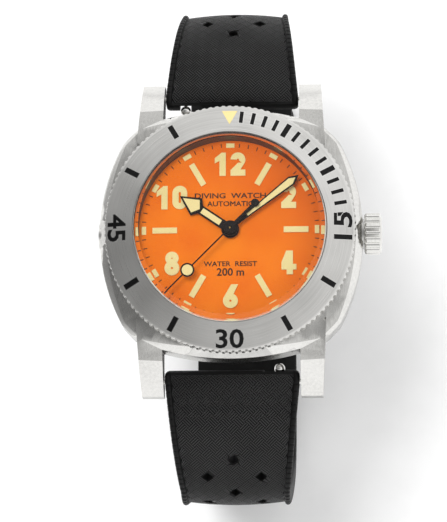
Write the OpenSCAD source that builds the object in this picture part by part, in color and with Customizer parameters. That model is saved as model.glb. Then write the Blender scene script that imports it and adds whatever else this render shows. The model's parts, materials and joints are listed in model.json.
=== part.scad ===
// Dive watch: cushion case, 120-step timing bezel, automatic movement, rubber strap with a pin buckle.
// Origin at the centre of the case back's outer face, +Z out through the dial, +Y to 12 o'clock,
// +X to the crown. Millimetres.

/* [Case] */
// Width of the case across 9 to 3 o'clock
case_w = 39; // [38.6:0.1:39.6]
// Length of the case body across 12 to 6 o'clock, without the lugs
case_len = 37.6; // [37.2:0.1:38]
// Length over the lug tips
lug_to_lug = 47.5; // [47:0.1:48.5]
// Gap between the lugs, where the strap fits
lug_gap = 20.3; // [20.2:0.1:20.6]
// Radius of the case's corners about its centre
corner_r = 21.1; // [20.8:0.1:21.4]

/* [Bezel] */
// Outer radius over the grip teeth
bezel_r = 18.5; // [18.4:0.1:18.7]
// Number of grip teeth
bezel_teeth = 120; // [60:30:120]
// Radius of the centres of the minute marks
mark_r = 16.4; // [16.2:0.1:16.6]

/* [Dial] */
// Radius of the visible dial, inside the flange ring
dial_view_r = 13.35; // [13.3:0.05:13.4]
// Radius of the centres of the hour numerals
numeral_r = 9.8; // [9.6:0.1:10]

/* [Time shown at rest] */
// Minute hand, degrees clockwise from 12
minute_deg = 51.75; // [0:0.25:360]
// Hour hand, degrees clockwise from 12
hour_deg = 304.3125; // [0:0.0625:360]
// Seconds hand, degrees clockwise from 12
seconds_deg = 225; // [0:1:360]

/* [Crown] */
// Crown radius
crown_r = 3.1; // [2.9:0.1:3.2]
// Number of crown flutes
crown_flutes = 22; // [16:1:26]

/* [Strap] */
// Strap width at the lugs
strap_w = 19.9; // [19.6:0.1:20]
// Strap width at the buckle
strap_end_w = 16.4; // [16:0.1:16.6]
// Strap thickness
strap_t = 2.8; // [2.6:0.1:3]
// Length of the flat tail of the long half
tail_len = 48; // [40:1:50]

/* [Hidden] */
$fn = 64;

STEEL = [0.78, 0.78, 0.76];
BRASS = [0.80, 0.66, 0.36];
BLACK = [0.06, 0.06, 0.06];
LUME = [0.98, 0.91, 0.68];
ORANGE = [0.98, 0.50, 0.14];
RUBBER = [0.10, 0.10, 0.11];
RUBY = [0.78, 0.10, 0.22];

back_z = 1.55;          // underside of the case middle, top of the case back's flange
flank_top = 6.9;        // height where the polished bevel meets the shoulder at the rim
seat_z = 7.6;           // bezel seat, and the dial's top face
neck_r = 15.5;          // outer radius of the neck that the bezel turns on
bore_r = 14.6;          // case bore, from the movement up to the crystal
side_r = 29;            // radius of the case's left and right flanks
end_r = 38;             // radius of the case's upper and lower flanks
bevel = 0.7;            // polished bevel round the top of the flank
bar_y = 21.6;           // distance of the spring bars from the centre
bar_z = 2.1;            // height of the spring bars
crown_z = 4.5;          // height of the crown's axis
crown_x = 19.7;         // inner face of the crown
bezel_low = 8.0;        // underside of the bezel
bezel_rim_z = 10.15;    // top of the bezel at its teeth
bezel_in_z = 11.2;      // top of the bezel at its inner edge
bezel_in_r = 14.15;     // inner edge of the bezel's top
crystal_r = 14.0;       // crystal radius
crystal_z = 9.9;        // underside of the crystal
mark_depth = 0.15;      // depth of the bezel's filled marks

// ---------------------------------------------------------------- general shapes
module ring(ro, ri, h, z = 0) translate([0, 0, z]) difference() {
    cylinder(r = ro, h = h);
    translate([0, 0, -1]) cylinder(r = ri, h = h + 2);
}
module disc(r, h, z = 0) translate([0, 0, z]) cylinder(r = r, h = h);
module at(p, z = 0) translate([p[0], p[1], z]) children();
module along_x(x, y, z) translate([x, y, z]) rotate([0, 90, 0]) children();
// Clockwise from 12, at a radius, turned to stand radially.
module on_clock(deg, r) rotate(-deg) translate([0, r]) children();
function polar(r, deg) = [r * cos(deg), r * sin(deg)];
function reversed(v) = [for (i = [len(v) - 1 : -1 : 0]) v[i]];

// A straight arm between two points with round bosses a little wider than the arm.
module arm(p, q, w) {
    d = q - p;
    translate(p) rotate(atan2(d[1], d[0])) translate([0, -w / 2]) square([norm(d), w]);
    translate(p) circle(r = w * 0.58);
    translate(q) circle(r = w * 0.58);
}

// Thin-toothed gear blank, so that every mesh keeps backlash. aim is the direction of its mate, and
// a tooth lies on it if tooth is true, else a gap.
module gear(teeth, m, h, z, aim = 0, tooth = true, hole = 0) {
    pitch = 360 / teeth;
    root = m * (teeth / 2 - 1.3);
    tip = m * (teeth / 2 + 0.8);
    start = aim + (tooth ? 0 : pitch / 2);
    translate([0, 0, z]) linear_extrude(h) difference() {
        polygon([for (i = [0 : teeth - 1], k = [[root, -0.3], [tip, -0.1], [tip, 0.1], [root, 0.3]])
            polar(k[0], start + pitch * (i + k[1]))]);
        if (hole > 0) circle(r = hole);
    }
}

// A spoked gear: rim, spokes and hub.
module spoked(teeth, m, h, z, aim, tooth, hub, spokes, hole) {
    inner = m * (teeth / 2 - 1.3) - 0.45;
    difference() {
        gear(teeth, m, h, z, aim, tooth, hole);
        for (i = [0 : spokes - 1]) rotate(i * 360 / spokes) difference() {
            rotate(14) translate([0, 0, z - 1]) linear_extrude(h + 2) intersection() {
                circle(r = inner);
                polygon([[0, 0], polar(30, 0), polar(30, 360 / spokes - 28)]);
            }
            disc(hub, h + 4, z - 2);
        }
    }
}

// ---------------------------------------------------------------- numerals, drawn with exact strokes
module ring_arc(r, t, a0, a1) intersection() {
    difference() { circle(r = r); circle(r = r - t); }
    polygon(concat([[0, 0]], [for (i = [0 : 6]) polar(3 * r, a0 + (a1 - a0) * i / 6)]));
}
module stadium(w, h) {
    for (s = [-1, 1]) translate([0, s * (h - w) / 2]) circle(r = w / 2);
    square([w * 0.9999, h - w], center = true);
}
module digit(n, h, t) {
    w = 0.62 * h;
    r = w / 2;
    low = -h / 2;
    if (n == 0) difference() { stadium(w, h); stadium(w - 2 * t, h - 2 * t); }
    if (n == 1) polygon([[t / 2, low], [t / 2, -low], [-t / 6, -low], [-t * 1.25, -low - 0.9 * t],
                         [-t * 1.25, -low - 1.75 * t], [-t / 2, -low - 1.35 * t], [-t / 2, low]]);
    if (n == 2) {
        translate([0, -low - r]) ring_arc(r, t, -38, 178);
        polygon([[-r, low + t * 0.9], [r - 1.15 * t, 0.06 * h], [r * 0.9, 0.06 * h], [-r + 1.5 * t, low + t * 0.9]]);
        translate([-r, low]) square([w, t]);
    }
    if (n == 3) {
        q = (h + t) / 4;
        for (s = [-1, 1]) translate([r - q, s * (h / 2 - q)]) {
            ring_arc(q, t, s > 0 ? -90 : -120, s > 0 ? 120 : 90);
            translate([-q * 0.5, s * (q - t) - (s < 0 ? t : 0)]) square([q * 0.5, t]);
        }
        translate([-t * 0.6, -t / 2]) square([t * 0.8, t]);
    }
    if (n == 4) {
        translate([r - 1.55 * t, low]) square([t, h]);
        translate([-r, low + 0.2 * h]) square([w, t * 0.9]);
        polygon([[-r, low + 0.2 * h + t * 0.4], [-r, low + 0.2 * h + t * 1.2], [r - 1.6 * t, -low],
                 [r - 0.6 * t, -low], [r - 0.6 * t, -low - t * 0.4], [-r + t * 1.1, low + 0.2 * h + t * 0.4]]);
    }
    if (n == 5) {
        q = 0.3 * h;
        translate([r - q, low + q]) ring_arc(q, t, -150, 140);
        translate([-r * 0.86, 0.02 * h]) square([t * 0.95, 0.48 * h]);
        translate([-r * 0.86, -low - t]) square([w * 0.88, t]);
        translate([-r * 0.86, 0.02 * h]) square([r * 0.7, t * 0.7]);
    }
    if (n == 6) {
        translate([0, low + r]) difference() { circle(r = r); circle(r = r - t); }
        polygon([[-r, low + r], [-r * 0.98, low + r * 1.3], [0.1 * r, -low], [0.1 * r + t * 1.1, -low],
                 [-r + t * 1.35, low + r * 1.35], [-r + t * 0.9, low + r]]);
    }
    if (n == 8) {
        top = 0.9 * r;
        translate([0, low + r]) difference() { circle(r = r); circle(r = r - t); }
        translate([0, -low - top]) difference() { circle(r = top); circle(r = top - t * 0.95); }
    }
}
module two_digits(a, b, h, t, gap) {
    translate([-gap, 0]) digit(a, h, t);
    translate([gap, 0]) digit(b, h, t);
}

// ---------------------------------------------------------------- case
// One flank of the case: a big turned body with a 45 degree bevel at its top, centred at c.
module flank(r, c) translate(c) rotate_extrude($fn = 128)
    polygon([[0, back_z], [r - 0.5, back_z], [r, back_z + 0.5], [r, flank_top - bevel],
             [r - 1.6 * bevel, flank_top + 0.6 * bevel], [r - 1.6 * bevel, 20], [0, 20]]);

module lug_side() intersection() {
    polygon([[13, back_z + 0.15], [19.5, 1.0], [lug_to_lug / 2, -0.3], [lug_to_lug / 2, 9], [13, 9]]);
    translate([11.74, -8.76]) circle(r = 16, $fn = 128);
}
module lugs() for (sx = [0, 1], sy = [0, 1]) mirror([sx, 0, 0]) mirror([0, sy, 0]) difference() {
    translate([lug_gap / 2, 0, 0]) rotate([90, 0, 90]) linear_extrude(3.85) lug_side();
    translate([lug_gap / 2 + 3.85, 13, -2]) rotate(3.2) cube([4, 14, 14]);
    along_x(lug_gap / 2 - 0.5, bar_y, bar_z) cylinder(r = 0.45, h = 1.8);
}

module mid_case() color(STEEL) difference() {
    union() {
        intersection() {
            flank(side_r, [side_r - case_w / 2, 0, 0]);
            flank(side_r, [case_w / 2 - side_r, 0, 0]);
            flank(end_r, [0, end_r - case_len / 2, 0]);
            flank(end_r, [0, case_len / 2 - end_r, 0]);
            flank(corner_r, [0, 0, 0]);
            rotate_extrude($fn = 128) polygon([[0, 0], [30, 0], [30, 4.2], [17.2, seat_z], [0, seat_z]]);
        }
        disc(neck_r, 10.5 - seat_z + 0.2, seat_z - 0.2);
        lugs();
    }
    disc(bore_r, 12, 0);
    disc(15.4, 2.8, 0);
    disc(16.85, back_z, 0);
    translate([0, 0, back_z - 0.5]) ring(16.35, 15.75, 0.9);
    ring(neck_r + 1, 15.0, 0.5, 8.95);
    along_x(14, 0, crown_z) cylinder(r = 1.6, h = 8);
    along_x(19.3, 0, crown_z) cylinder(r = 2.25, h = 2);
    along_x(-22, 0, crown_z) cylinder(r = 1.3, h = 8);
    along_x(-22, 0, crown_z) cylinder(r = 2.0, h = 3.3);
}

module case_back() color(STEEL) difference() {
    rotate_extrude($fn = 128) polygon([[0, 0], [16.3, 0], [16.8, 0.5], [16.8, back_z], [15.4, back_z],
                                       [15.4, 2.8], [14.65, 2.8], [14.65, 1.0], [0, 1.0]]);
    for (i = [0 : 5]) rotate(i * 60) translate([15.4, -1.1, -1]) cube([3, 2.2, 1.6]);
}
module case_back_gasket() color(RUBBER) ring(16.3, 15.8, 0.38, back_z);

module crown_tube() color(STEEL) difference() {
    union() {
        along_x(14.7, 0, crown_z) cylinder(r = 1.6, h = 5.9);
        along_x(19.3, 0, crown_z) cylinder(r = 2.25, h = 0.32);
    }
    along_x(14, 0, crown_z) cylinder(r = 1.05, h = 8);
}
module valve_bushing() color(STEEL) difference() {
    along_x(-18.6, 0, crown_z) cylinder(r = 1.3, h = 2.6);
    along_x(-19, 0, crown_z) cylinder(r = 0.75, h = 4);
}

module crystal() color([0.75, 0.85, 0.9, 0.35]) intersection() {
    rotate_extrude($fn = 128) polygon([[0, crystal_z], [crystal_r, crystal_z], [crystal_r, 11.9],
                                       [13.3, 12.55], [13.0, 14], [0, 14]]);
    translate([0, 0, 13.35 - 110]) sphere(r = 110, $fn = 128);
}
module crystal_gasket() color([0.9, 0.9, 0.88]) ring(bore_r, crystal_r, 0.55, crystal_z + 0.05);
module rehaut_ring() color([0.25, 0.25, 0.25]) rotate_extrude($fn = 128)
    polygon([[dial_view_r, seat_z], [bore_r, seat_z], [bore_r, crystal_z], [13.6, crystal_z]]);
module bezel_spring() color(STEEL) difference() {
    ring(15.95, 15.05, 0.3, 9.05);
    translate([-0.6, 14, 8]) cube([1.2, 4, 3]);
}
module bezel_click_spring() color(STEEL) {
    difference() {
        ring(18.0, 15.6, 0.16, seat_z);
        for (i = [0 : 2]) rotate(i * 120) translate([-2.2, 16.5, 7]) cube([4.4, 0.9, 2]);
    }
    for (i = [0 : 2]) rotate(i * 120) translate([-2.2, 16.55, seat_z]) rotate([0, -3.5, 0]) cube([3.6, 0.8, 0.12]);
}
module movement_ring() color([0.85, 0.85, 0.82]) difference() {
    ring(14.5, 12.85, 7.2 - 2.9, 2.9);
    along_x(12, 0, crown_z) cylinder(r = 0.9, h = 4);
    for (s = [60, 240]) rotate(s) translate([12, -1.6, 2.5]) cube([4, 3.2, 1.05]);
    for (s = [60, 240]) rotate(s) translate([13.5, 0, 3.4]) cylinder(r = 0.4, h = 1);
}
module case_clamps() color(STEEL) for (s = [60, 240]) rotate(s) {
    translate([11.9, -1.3, 3.25]) difference() {
        cube([2.5, 2.6, 0.3]);
        translate([1.6, 1.3, -1]) cylinder(r = 0.45, h = 3);
    }
    translate([13.5, 0, 2.95]) cylinder(r = 0.75, h = 0.3);
    translate([13.5, 0, 3.2]) cylinder(r = 0.4, h = 1.2);
}

// ---------------------------------------------------------------- dial
module dial() color(ORANGE) {
    ring(14.3, 1.05, 0.4, seat_z - 0.4);
    for (s = [20, 200]) rotate(s) translate([11.4, 0, 6.0]) cylinder(r = 0.35, h = 1.3);
}
module numeral(hour) {
    if (hour == 12) two_digits(1, 2, 3.5, 0.92, 1.12);
    else if (hour == 10) two_digits(1, 0, 3.5, 0.92, 1.12);
    else digit(hour, 3.5, 0.92);
}
module dial_markers() color(LUME) translate([0, 0, seat_z]) linear_extrude(0.18) {
    for (hour = [1 : 12]) on_clock(hour * 30, 12.6) square([1.2, 0.65], center = true);
    for (hour = [1 : 2 : 11]) on_clock(hour * 30, 9.55) square([0.85, 3.6], center = true);
    for (hour = [2 : 2 : 12]) translate(polar(numeral_r, 90 - hour * 30)) numeral(hour);
}

// ---------------------------------------------------------------- bezel
function bezel_top(r) = bezel_in_z - (bezel_in_z - bezel_rim_z) * (r - bezel_in_r) / (18.2 - bezel_in_r);
module bezel_blank() intersection() {
    translate([0, 0, bezel_low]) linear_extrude(4) difference() {
        circle(r = bezel_r, $fn = 128);
        for (i = [0 : bezel_teeth - 1]) rotate((i + 0.5) * 360 / bezel_teeth)
            translate([bezel_r + 0.12, 0]) circle(r = 0.33, $fn = 16);
    }
    rotate_extrude($fn = 128) polygon([[neck_r + 0.08, bezel_low], [18.0, bezel_low], [18.6, bezel_low + 0.5],
        [18.6, bezel_rim_z - 0.3], [18.2, bezel_rim_z], [bezel_in_r + 0.15, bezel_in_z],
        [bezel_in_r, bezel_in_z - 0.15], [bezel_in_r, 10.65], [neck_r + 0.08, 10.65]]);
}
// The radial band just under the bezel's top face, as deep as the filled marks.
module mark_skin(up) rotate_extrude($fn = 128)
    polygon([[14.6, bezel_top(14.6) - mark_depth], [18.1, bezel_top(18.1) - mark_depth],
             [18.1, bezel_top(18.1) + up], [14.6, bezel_top(14.6) + up]]);
module minute_marks() {
    for (m = [1 : 14]) if (m % 5 != 0) on_clock(m * 6, mark_r) square([0.6, 1.85], center = true);
    for (m = [5, 10, 20, 25, 35, 40, 50, 55]) on_clock(m * 6, mark_r) square([0.85, 2.25], center = true);
    on_clock(90, mark_r) rotate(180) two_digits(1, 5, 2.4, 0.5, 0.95);
    on_clock(180, mark_r) rotate(180) two_digits(3, 0, 2.4, 0.5, 1.1);
    on_clock(270, mark_r) rotate(180) two_digits(4, 5, 2.4, 0.5, 1.0);
}
module pip_shape() polygon([[-1.15, 17.55], [1.15, 17.55], [0, 15.4]]);
module bezel() color(STEEL) difference() {
    bezel_blank();
    ring(16.15, 15, 0.6, 8.9);
    intersection() {
        translate([0, 0, 9]) linear_extrude(4) { minute_marks(); pip_shape(); }
        mark_skin(1);
    }
}
module bezel_markings() color(BLACK) intersection() {
    translate([0, 0, 9]) linear_extrude(4) minute_marks();
    mark_skin(0);
}
module bezel_pip() color(LUME) intersection() {
    translate([0, 0, 9]) linear_extrude(4) pip_shape();
    mark_skin(0);
}

// ---------------------------------------------------------------- crown, stem and gas valve
module crown() color(STEEL) difference() {
    along_x(crown_x, 0, crown_z) difference() {
        rotate_extrude() polygon([[0, 0], [crown_r - 0.3, 0], [crown_r, 0.3], [crown_r, 2.2],
                                  [crown_r - 0.45, 2.6], [0, 2.6]]);
        for (i = [0 : crown_flutes - 1]) rotate(i * 360 / crown_flutes)
            translate([crown_r + 0.12, 0, -1]) cylinder(r = 0.3, h = 5, $fn = 16);
    }
    along_x(crown_x - 0.5, 0, crown_z) difference() {
        cylinder(r = 1.75, h = 2.1);
        cylinder(r = 0.9, h = 2.1);
    }
    along_x(crown_x - 0.5, 0, crown_z) cylinder(r = 0.5, h = 2.6);
}
module winding_stem() color(STEEL) {
    along_x(12, 0, crown_z) cylinder(r = 0.5, h = crown_x + 2.1 - 12);
    translate([8.1, -0.35, crown_z - 0.35]) cube([4.4, 0.7, 0.7]);
    along_x(7.2, 0, crown_z) cylinder(r = 0.28, h = 1);
}
module crown_gasket() color(RUBBER) difference() {
    along_x(17.2, 0, crown_z) cylinder(r = 1.0, h = 0.7);
    along_x(17, 0, crown_z) cylinder(r = 0.53, h = 2);
}
module clutch_wheel() color(STEEL) difference() {
    union() {
        along_x(8.6, 0, crown_z) cylinder(r = 0.7, h = 0.9);
        along_x(9.4, 0, crown_z) gear(12, 0.12, 0.5, 0);
    }
    translate([8, -0.37, crown_z - 0.37]) cube([4, 0.74, 0.74]);
}
module helium_valve() color(STEEL) {
    along_x(-19.65, 0, crown_z) cylinder(r = 1.9, h = 0.95);
    along_x(-18.8, 0, crown_z) cylinder(r = 0.68, h = 3.4);
    along_x(-15.45, 0, crown_z) cylinder(r = 1.0, h = 0.3);
}

// ---------------------------------------------------------------- hands
// An outline given by its right half, whose points on the axis are not repeated.
function other_half(v) = [for (p = reversed(v)) if (p[0] > 0) [-p[0], p[1]]];
module even_outline(v) polygon(concat(v, other_half(v)));
module hour_outline() even_outline([[0.675, 0], [0.675, 5.25], [1.54, 5.96], [0, 8.9]]);
module hour_inside() {
    even_outline([[0, 5.35], [1.12, 6.13], [0, 8.35]]);
    translate([-0.42, 1.7]) square([0.84, 3.3]);
}
module minute_outline() even_outline([[0.28, 0], [0.28, 2.2], [0.71, 11.4], [0, 12.75]]);
module minute_inside() even_outline([[0.17, 3.2], [0.5, 11.25], [0, 12.15]]);
module hour_hand() color(BLACK) rotate(-hour_deg) translate([0, 0, 8.0]) linear_extrude(0.22) difference() {
    union() { hour_outline(); circle(r = 1.3); }
    hour_inside();
    circle(r = 0.95);
}
module hour_lume() color(LUME) rotate(-hour_deg) translate([0, 0, 8.02]) linear_extrude(0.18) hour_inside();
module minute_hand() color(BLACK) rotate(-minute_deg) translate([0, 0, 8.55]) linear_extrude(0.2) difference() {
    union() { minute_outline(); circle(r = 1.1); }
    minute_inside();
    circle(r = 0.65);
}
module minute_lume() color(LUME) rotate(-minute_deg) translate([0, 0, 8.57]) linear_extrude(0.16) minute_inside();
module seconds_hand() color(BLACK) rotate(-seconds_deg) translate([0, 0, 9.1]) {
    linear_extrude(0.16) difference() {
        union() {
            translate([-0.1, 0]) square([0.2, 13.0]);
            translate([0, 8.75]) circle(r = 1.03);
            translate([-0.225, -5.2]) square([0.45, 5.2]);
            translate([0, -5.2]) circle(r = 0.6);
            circle(r = 0.85);
        }
        translate([0, 8.75]) circle(r = 0.8);
        circle(r = 0.12);
    }
    difference() {
        disc(0.5, 0.35, -0.15);
        disc(0.12, 2, -1);
    }
}
module seconds_lume() color(LUME) rotate(-seconds_deg) translate([0, 8.75, 9.12]) cylinder(r = 0.8, h = 0.12);

// ---------------------------------------------------------------- movement: where each arbor stands
train_turn = -60;                            // the whole train is turned so the barrel clears the stem
barrel_at = polar(0.13 * (84 + 12) / 2, train_turn);
third_at = polar(0.11 * (80 + 10) / 2, 230 + train_turn);
escape_at = polar(0.105 * (84 + 7) / 2, 95 + train_turn);
balance_at = polar(8.3, 139.1 + train_turn);
third_m = 0.11 * (80 + 10) / (75 + 10);      // module that closes the third wheel's second mesh
motion_at = polar(2.4, 200);                 // minute wheel of the motion works
lever_dir = (balance_at - escape_at) / norm(balance_at - escape_at);
lever_at = escape_at + 3.0 * lever_dir;
lever_deg = atan2(lever_dir[1], lever_dir[0]);
lever_foot = lever_at + 2.7 * [lever_dir[1], -lever_dir[0]];
balance_foot = polar(11.0, 139.1 + train_turn + 38);
train_feet = [polar(10.3, 152), polar(9.4, 22), polar(10.4, 222)];
barrel_feet = [polar(11.6, train_turn + 36), polar(11.6, train_turn - 36)];
plate_z = 5.3;                               // underside of the main plate
plate_r = 12.8;

function heading(v) = atan2(v[1], v[0]);

module main_plate() color(STEEL) difference() {
    disc(plate_r, 1.2, plate_z);
    disc(0.5, 4, 4);
    for (p = [third_at, escape_at, lever_at, balance_at]) at(p, 5) disc(0.6, 0.9);
    at(barrel_at, 5) disc(1.05, 2);
    at(motion_at, 5) disc(0.3, 2);
    for (s = [20, 200]) rotate(s) translate([11.4, 0, 5.9]) cylinder(r = 0.35, h = 2);
    for (p = concat(train_feet, barrel_feet, [balance_foot, lever_foot])) at(p, 5) disc(0.3, 1.1);
}
module foot(p, low) at(p, low) difference() {
    disc(0.85, plate_z - low);
    disc(0.3, 6);
}
module screw_holes(list) for (p = list) at(p, 0) { disc(0.3, 6); disc(0.62, 0.35, 2.45); }

module train_bridge() color(STEEL) difference() {
    union() {
        translate([0, 0, 2.55]) linear_extrude(0.4) {
            arm([0, 0], escape_at, 1.9);
            arm(escape_at, train_feet[1], 1.7);
            arm([0, 0], third_at, 2.0);
            arm(third_at, train_feet[0], 1.8);
            arm([0, 0], train_feet[2], 1.6);
            circle(r = 2.1);
        }
        for (p = train_feet) foot(p, 2.6);
    }
    screw_holes(train_feet);
    for (p = [[0, 0], third_at, escape_at]) at(p, 2.75) disc(0.45, 1);
    disc(0.5, 0.5, 2.45);
}
module barrel_bridge() color(STEEL) difference() {
    union() {
        translate([0, 0, 2.55]) linear_extrude(0.7) difference() {
            intersection() {
                union() {
                    translate(barrel_at) circle(r = 5.9);
                    for (p = barrel_feet) arm(barrel_at, p, 2.2);
                }
                circle(r = 12.7);
            }
            circle(r = 4.8);
            arm([0, 0], train_feet[2], 2.1);
        }
        for (p = barrel_feet) foot(p, 3.0);
    }
    screw_holes(barrel_feet);
    at(barrel_at, 2) disc(0.62, 2);
}
module balance_cock() color(STEEL) difference() {
    union() {
        translate([0, 0, 2.75]) linear_extrude(0.35) arm(balance_at, balance_foot, 1.8);
        foot(balance_foot, 2.8);
    }
    at(balance_foot, 0) { disc(0.3, 6); disc(0.62, 0.3, 2.7); }
    at(balance_at, 2.9) disc(0.5, 1);
}
module pallet_bridge() color(STEEL) difference() {
    union() {
        translate([0, 0, 4.35]) linear_extrude(0.25) arm(lever_at, lever_foot, 1.2);
        at(lever_foot, 4.4) disc(0.68, plate_z - 4.4);
    }
    at(lever_foot, 0) disc(0.3, 8);
    at(lever_at, 4.4) disc(0.28, 1);
}
module jewel_at(p, r, z, h, hole) at(p, z) difference() {
    disc(r, h);
    disc(hole, h + 1);
}
module jewels() color(RUBY) {
    for (p = [third_at, escape_at, balance_at]) jewel_at(p, 0.6, plate_z, 0.35, 0.17);
    jewel_at(lever_at, 0.6, plate_z, 0.35, 0.14);
    for (p = [third_at, escape_at]) jewel_at(p, 0.45, 2.75, 0.2, 0.17);
    jewel_at([0, 0], 0.45, 2.75, 0.2, 0.14);
    jewel_at(balance_at, 0.5, 2.9, 0.2, 0.17);
    jewel_at(lever_at, 0.28, 4.4, 0.2, 0.14);
}
module slotted_screw(r, head, p, z, len) color(STEEL) at(p, z) {
    difference() {
        disc(r, head);
        translate([-r, -0.1, -0.1]) cube([2 * r, 0.2, 0.2]);
    }
    disc(0.29, len);
}
module bridge_screws() {
    for (p = concat(train_feet, barrel_feet)) slotted_screw(0.6, 0.24, p, 2.56, 3.2);
    slotted_screw(0.6, 0.24, balance_foot, 2.76, 3.0);
    slotted_screw(0.5, 0.2, lever_foot, 4.14, 1.8);
}
module rotor_bearing() color(STEEL) {
    disc(1.4, 0.15, 1.3);
    disc(0.9, 1.1, 1.4);
    disc(0.45, 0.25, 2.45);
}
// A flat spiral strip from radius r0 out to r1.
function coil(r0, r1, turns, w, steps) =
    [for (i = [0 : steps]) polar(r0 + (r1 - r0) * i / steps + w, i * 360 * turns / steps)];
module spiral(r0, r1, turns, w, h, steps) linear_extrude(h)
    polygon(concat(coil(r0, r1, turns, w / 2, steps), reversed(coil(r0, r1, turns, -w / 2, steps))));
module hairspring() color([0.35, 0.4, 0.6]) at(balance_at, 3.25) spiral(0.5, 2.2, 6, 0.08, 0.1, 96);

// ---------------------------------------------------------------- movement: moving pieces
module centre_wheel() color(BRASS) {
    spoked(80, 0.11, 0.15, 5.05, heading(third_at), true, 0.8, 5, 0.17);
    gear(12, 0.13, 0.45, 4.45, heading(barrel_at), true, 0.17);
    ring(0.45, 0.17, 8.3 - 4.8, 4.8);
}
module cannon_pinion() color(STEEL) {
    ring(0.65, 0.45, 8.75 - 6.6, 6.6);
    gear(12, 0.1, 0.45, 6.6, heading(motion_at), true, 0.45);
}
module hour_wheel() color(BRASS) {
    gear(40, 0.096, 0.16, 6.9, heading(motion_at), true, 0.7);
    ring(0.95, 0.7, 8.22 - 6.9, 6.9);
}
module minute_wheel() color(BRASS) at(motion_at) {
    gear(36, 0.1, 0.2, 6.6, heading(-motion_at), false);
    gear(10, 0.096, 0.45, 6.6, heading(-motion_at), false);
    disc(0.25, 1.4, 5.35);
}
module fourth_wheel() color(BRASS) {
    spoked(84, 0.105, 0.15, 3.1, heading(escape_at), true, 0.7, 5, 0);
    gear(10, third_m, 0.35, 4.05, heading(third_at), false);
    disc(0.12, 9.3 - 2.8, 2.8);
}
module third_wheel() color(BRASS) at(third_at) {
    spoked(75, third_m, 0.15, 4.2, heading(-third_at), true, 0.8, 5, 0);
    gear(10, 0.11, 0.3, 4.95, heading(-third_at), false);
    disc(0.15, 5.6 - 2.8, 2.8);
}
module escape_wheel() color(STEEL) at(escape_at) {
    gear(7, 0.105, 0.4, 3.0, heading(-escape_at), false);
    translate([0, 0, 4.75]) linear_extrude(0.15) {
        difference() {
            polygon([for (i = [0 : 19], k = [[1.75, 0], [2.2, 4], [2.2, 6], [1.75, 9]])
                polar(k[0], i * 18 + k[1])]);
            circle(r = 1.5);
        }
        for (i = [0 : 3]) rotate(i * 90 + 20) translate([0, -0.12]) square([1.6, 0.24]);
        circle(r = 0.4);
    }
    disc(0.15, 5.6 - 2.8, 2.8);
}
module pallet_fork() color(STEEL) at(lever_at) {
    rotate(lever_deg) {
        translate([0, 0, 4.7]) linear_extrude(0.2) {
            translate([-0.2, -0.13]) square([2.15, 0.26]);
            for (s = [-1, 1]) translate([1.9, s * 0.24 - 0.1]) square([0.4, 0.2]);
            translate([1.75, -0.34]) square([0.2, 0.68]);
            translate([-0.25, -1.75]) square([0.5, 3.5]);
            circle(r = 0.4);
        }
        for (s = [-1, 1]) translate([-0.55, s * 1.75 - 0.15, 4.68]) cube([0.8, 0.3, 0.26]);
    }
    disc(0.12, 5.6 - 4.45, 4.45);
}
module balance_wheel() color(BRASS) at(balance_at) {
    ring(4.1, 3.5, 0.55, 3.45);
    translate([0, 0, 3.6]) linear_extrude(0.25) for (s = [0, 1]) rotate(s * 90 + 10)
        square([7.2, 0.5], center = true);
    disc(0.5, 0.4, 4.6);
    disc(0.15, 5.6 - 2.95, 2.95);
}
module barrel() color(BRASS) at(barrel_at) {
    difference() {
        union() {
            disc(5.0, 1.45, 3.4);
            gear(84, 0.13, 0.4, 4.45, heading(-barrel_at), false);
        }
        disc(4.7, 1.1, 3.6);
    }
    disc(0.6, 3.0, 2.8);
    disc(1.0, 1.2, 4.7);
}
module mainspring() color([0.4, 0.42, 0.46]) at(barrel_at, 3.7) spiral(1.3, 4.4, 7, 0.14, 0.85, 98);
module half_disc(r) intersection() {
    circle(r = r, $fn = 128);
    translate([-r, -r]) square([2 * r, r + 0.8]);
}
module rotor() color([0.85, 0.84, 0.8]) translate([0, 0, 1.6]) linear_extrude(0.25) difference() {
    union() { half_disc(10.6); circle(r = 2.0); }
    circle(r = 0.95);
    for (s = [-1, 1]) translate([s * 4.6, -4.4]) circle(r = 1.9);
}
module rotor_weight() color([0.6, 0.6, 0.62]) translate([0, 0, 1.4]) linear_extrude(0.95) difference() {
    half_disc(12.3);
    circle(r = 10.6, $fn = 128);
}

// ---------------------------------------------------------------- strap
// A strap half runs in its own plane from the spring bar: u outward, v up. Each leg is [length, turn],
// and the legs bend the strap round below the case.
first_leg = [17.5, -55];
turn_leg = [5.6, -38];
long_legs = [first_leg, turn_leg, [30.893, -12], [15.583, -70], [tail_len, 0]];
short_legs = [first_leg, turn_leg, [14.85, -20], [12.893, -57], [19, 0]];
start_deg = -5;
leg_steps = 8;

function leg_end(p, a, leg, f = 1) = leg[1] == 0
    ? p + f * leg[0] * [cos(a), sin(a)]
    : let (r = leg[0] / (leg[1] * PI / 180)) p + r * [sin(a + f * leg[1]) - sin(a), cos(a) - cos(a + f * leg[1])];
// Points and headings along the legs, from leg i on.
function path(legs, p, a, i = 0) = i == len(legs) ? [[p[0], p[1], a]] : let (n = legs[i][1] == 0 ? 1 : leg_steps)
    concat([for (k = [0 : n - 1]) let (q = leg_end(p, a, legs[i], k / n)) [q[0], q[1], a + legs[i][1] * k / n]],
           path(legs, leg_end(p, a, legs[i]), a + legs[i][1], i + 1));
// Point and heading at a distance s along the legs.
function at_length(legs, s, p = [bar_y, bar_z], a = start_deg, i = 0) = s <= legs[i][0]
    ? let (q = leg_end(p, a, legs[i], s / legs[i][0])) [q[0], q[1], a + legs[i][1] * s / legs[i][0]]
    : at_length(legs, s - legs[i][0], leg_end(p, a, legs[i]), a + legs[i][1], i + 1);
function offset_path(pts, d) = [for (q = pts) [q[0] - d * sin(q[2]), q[1] + d * cos(q[2])]];

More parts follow.
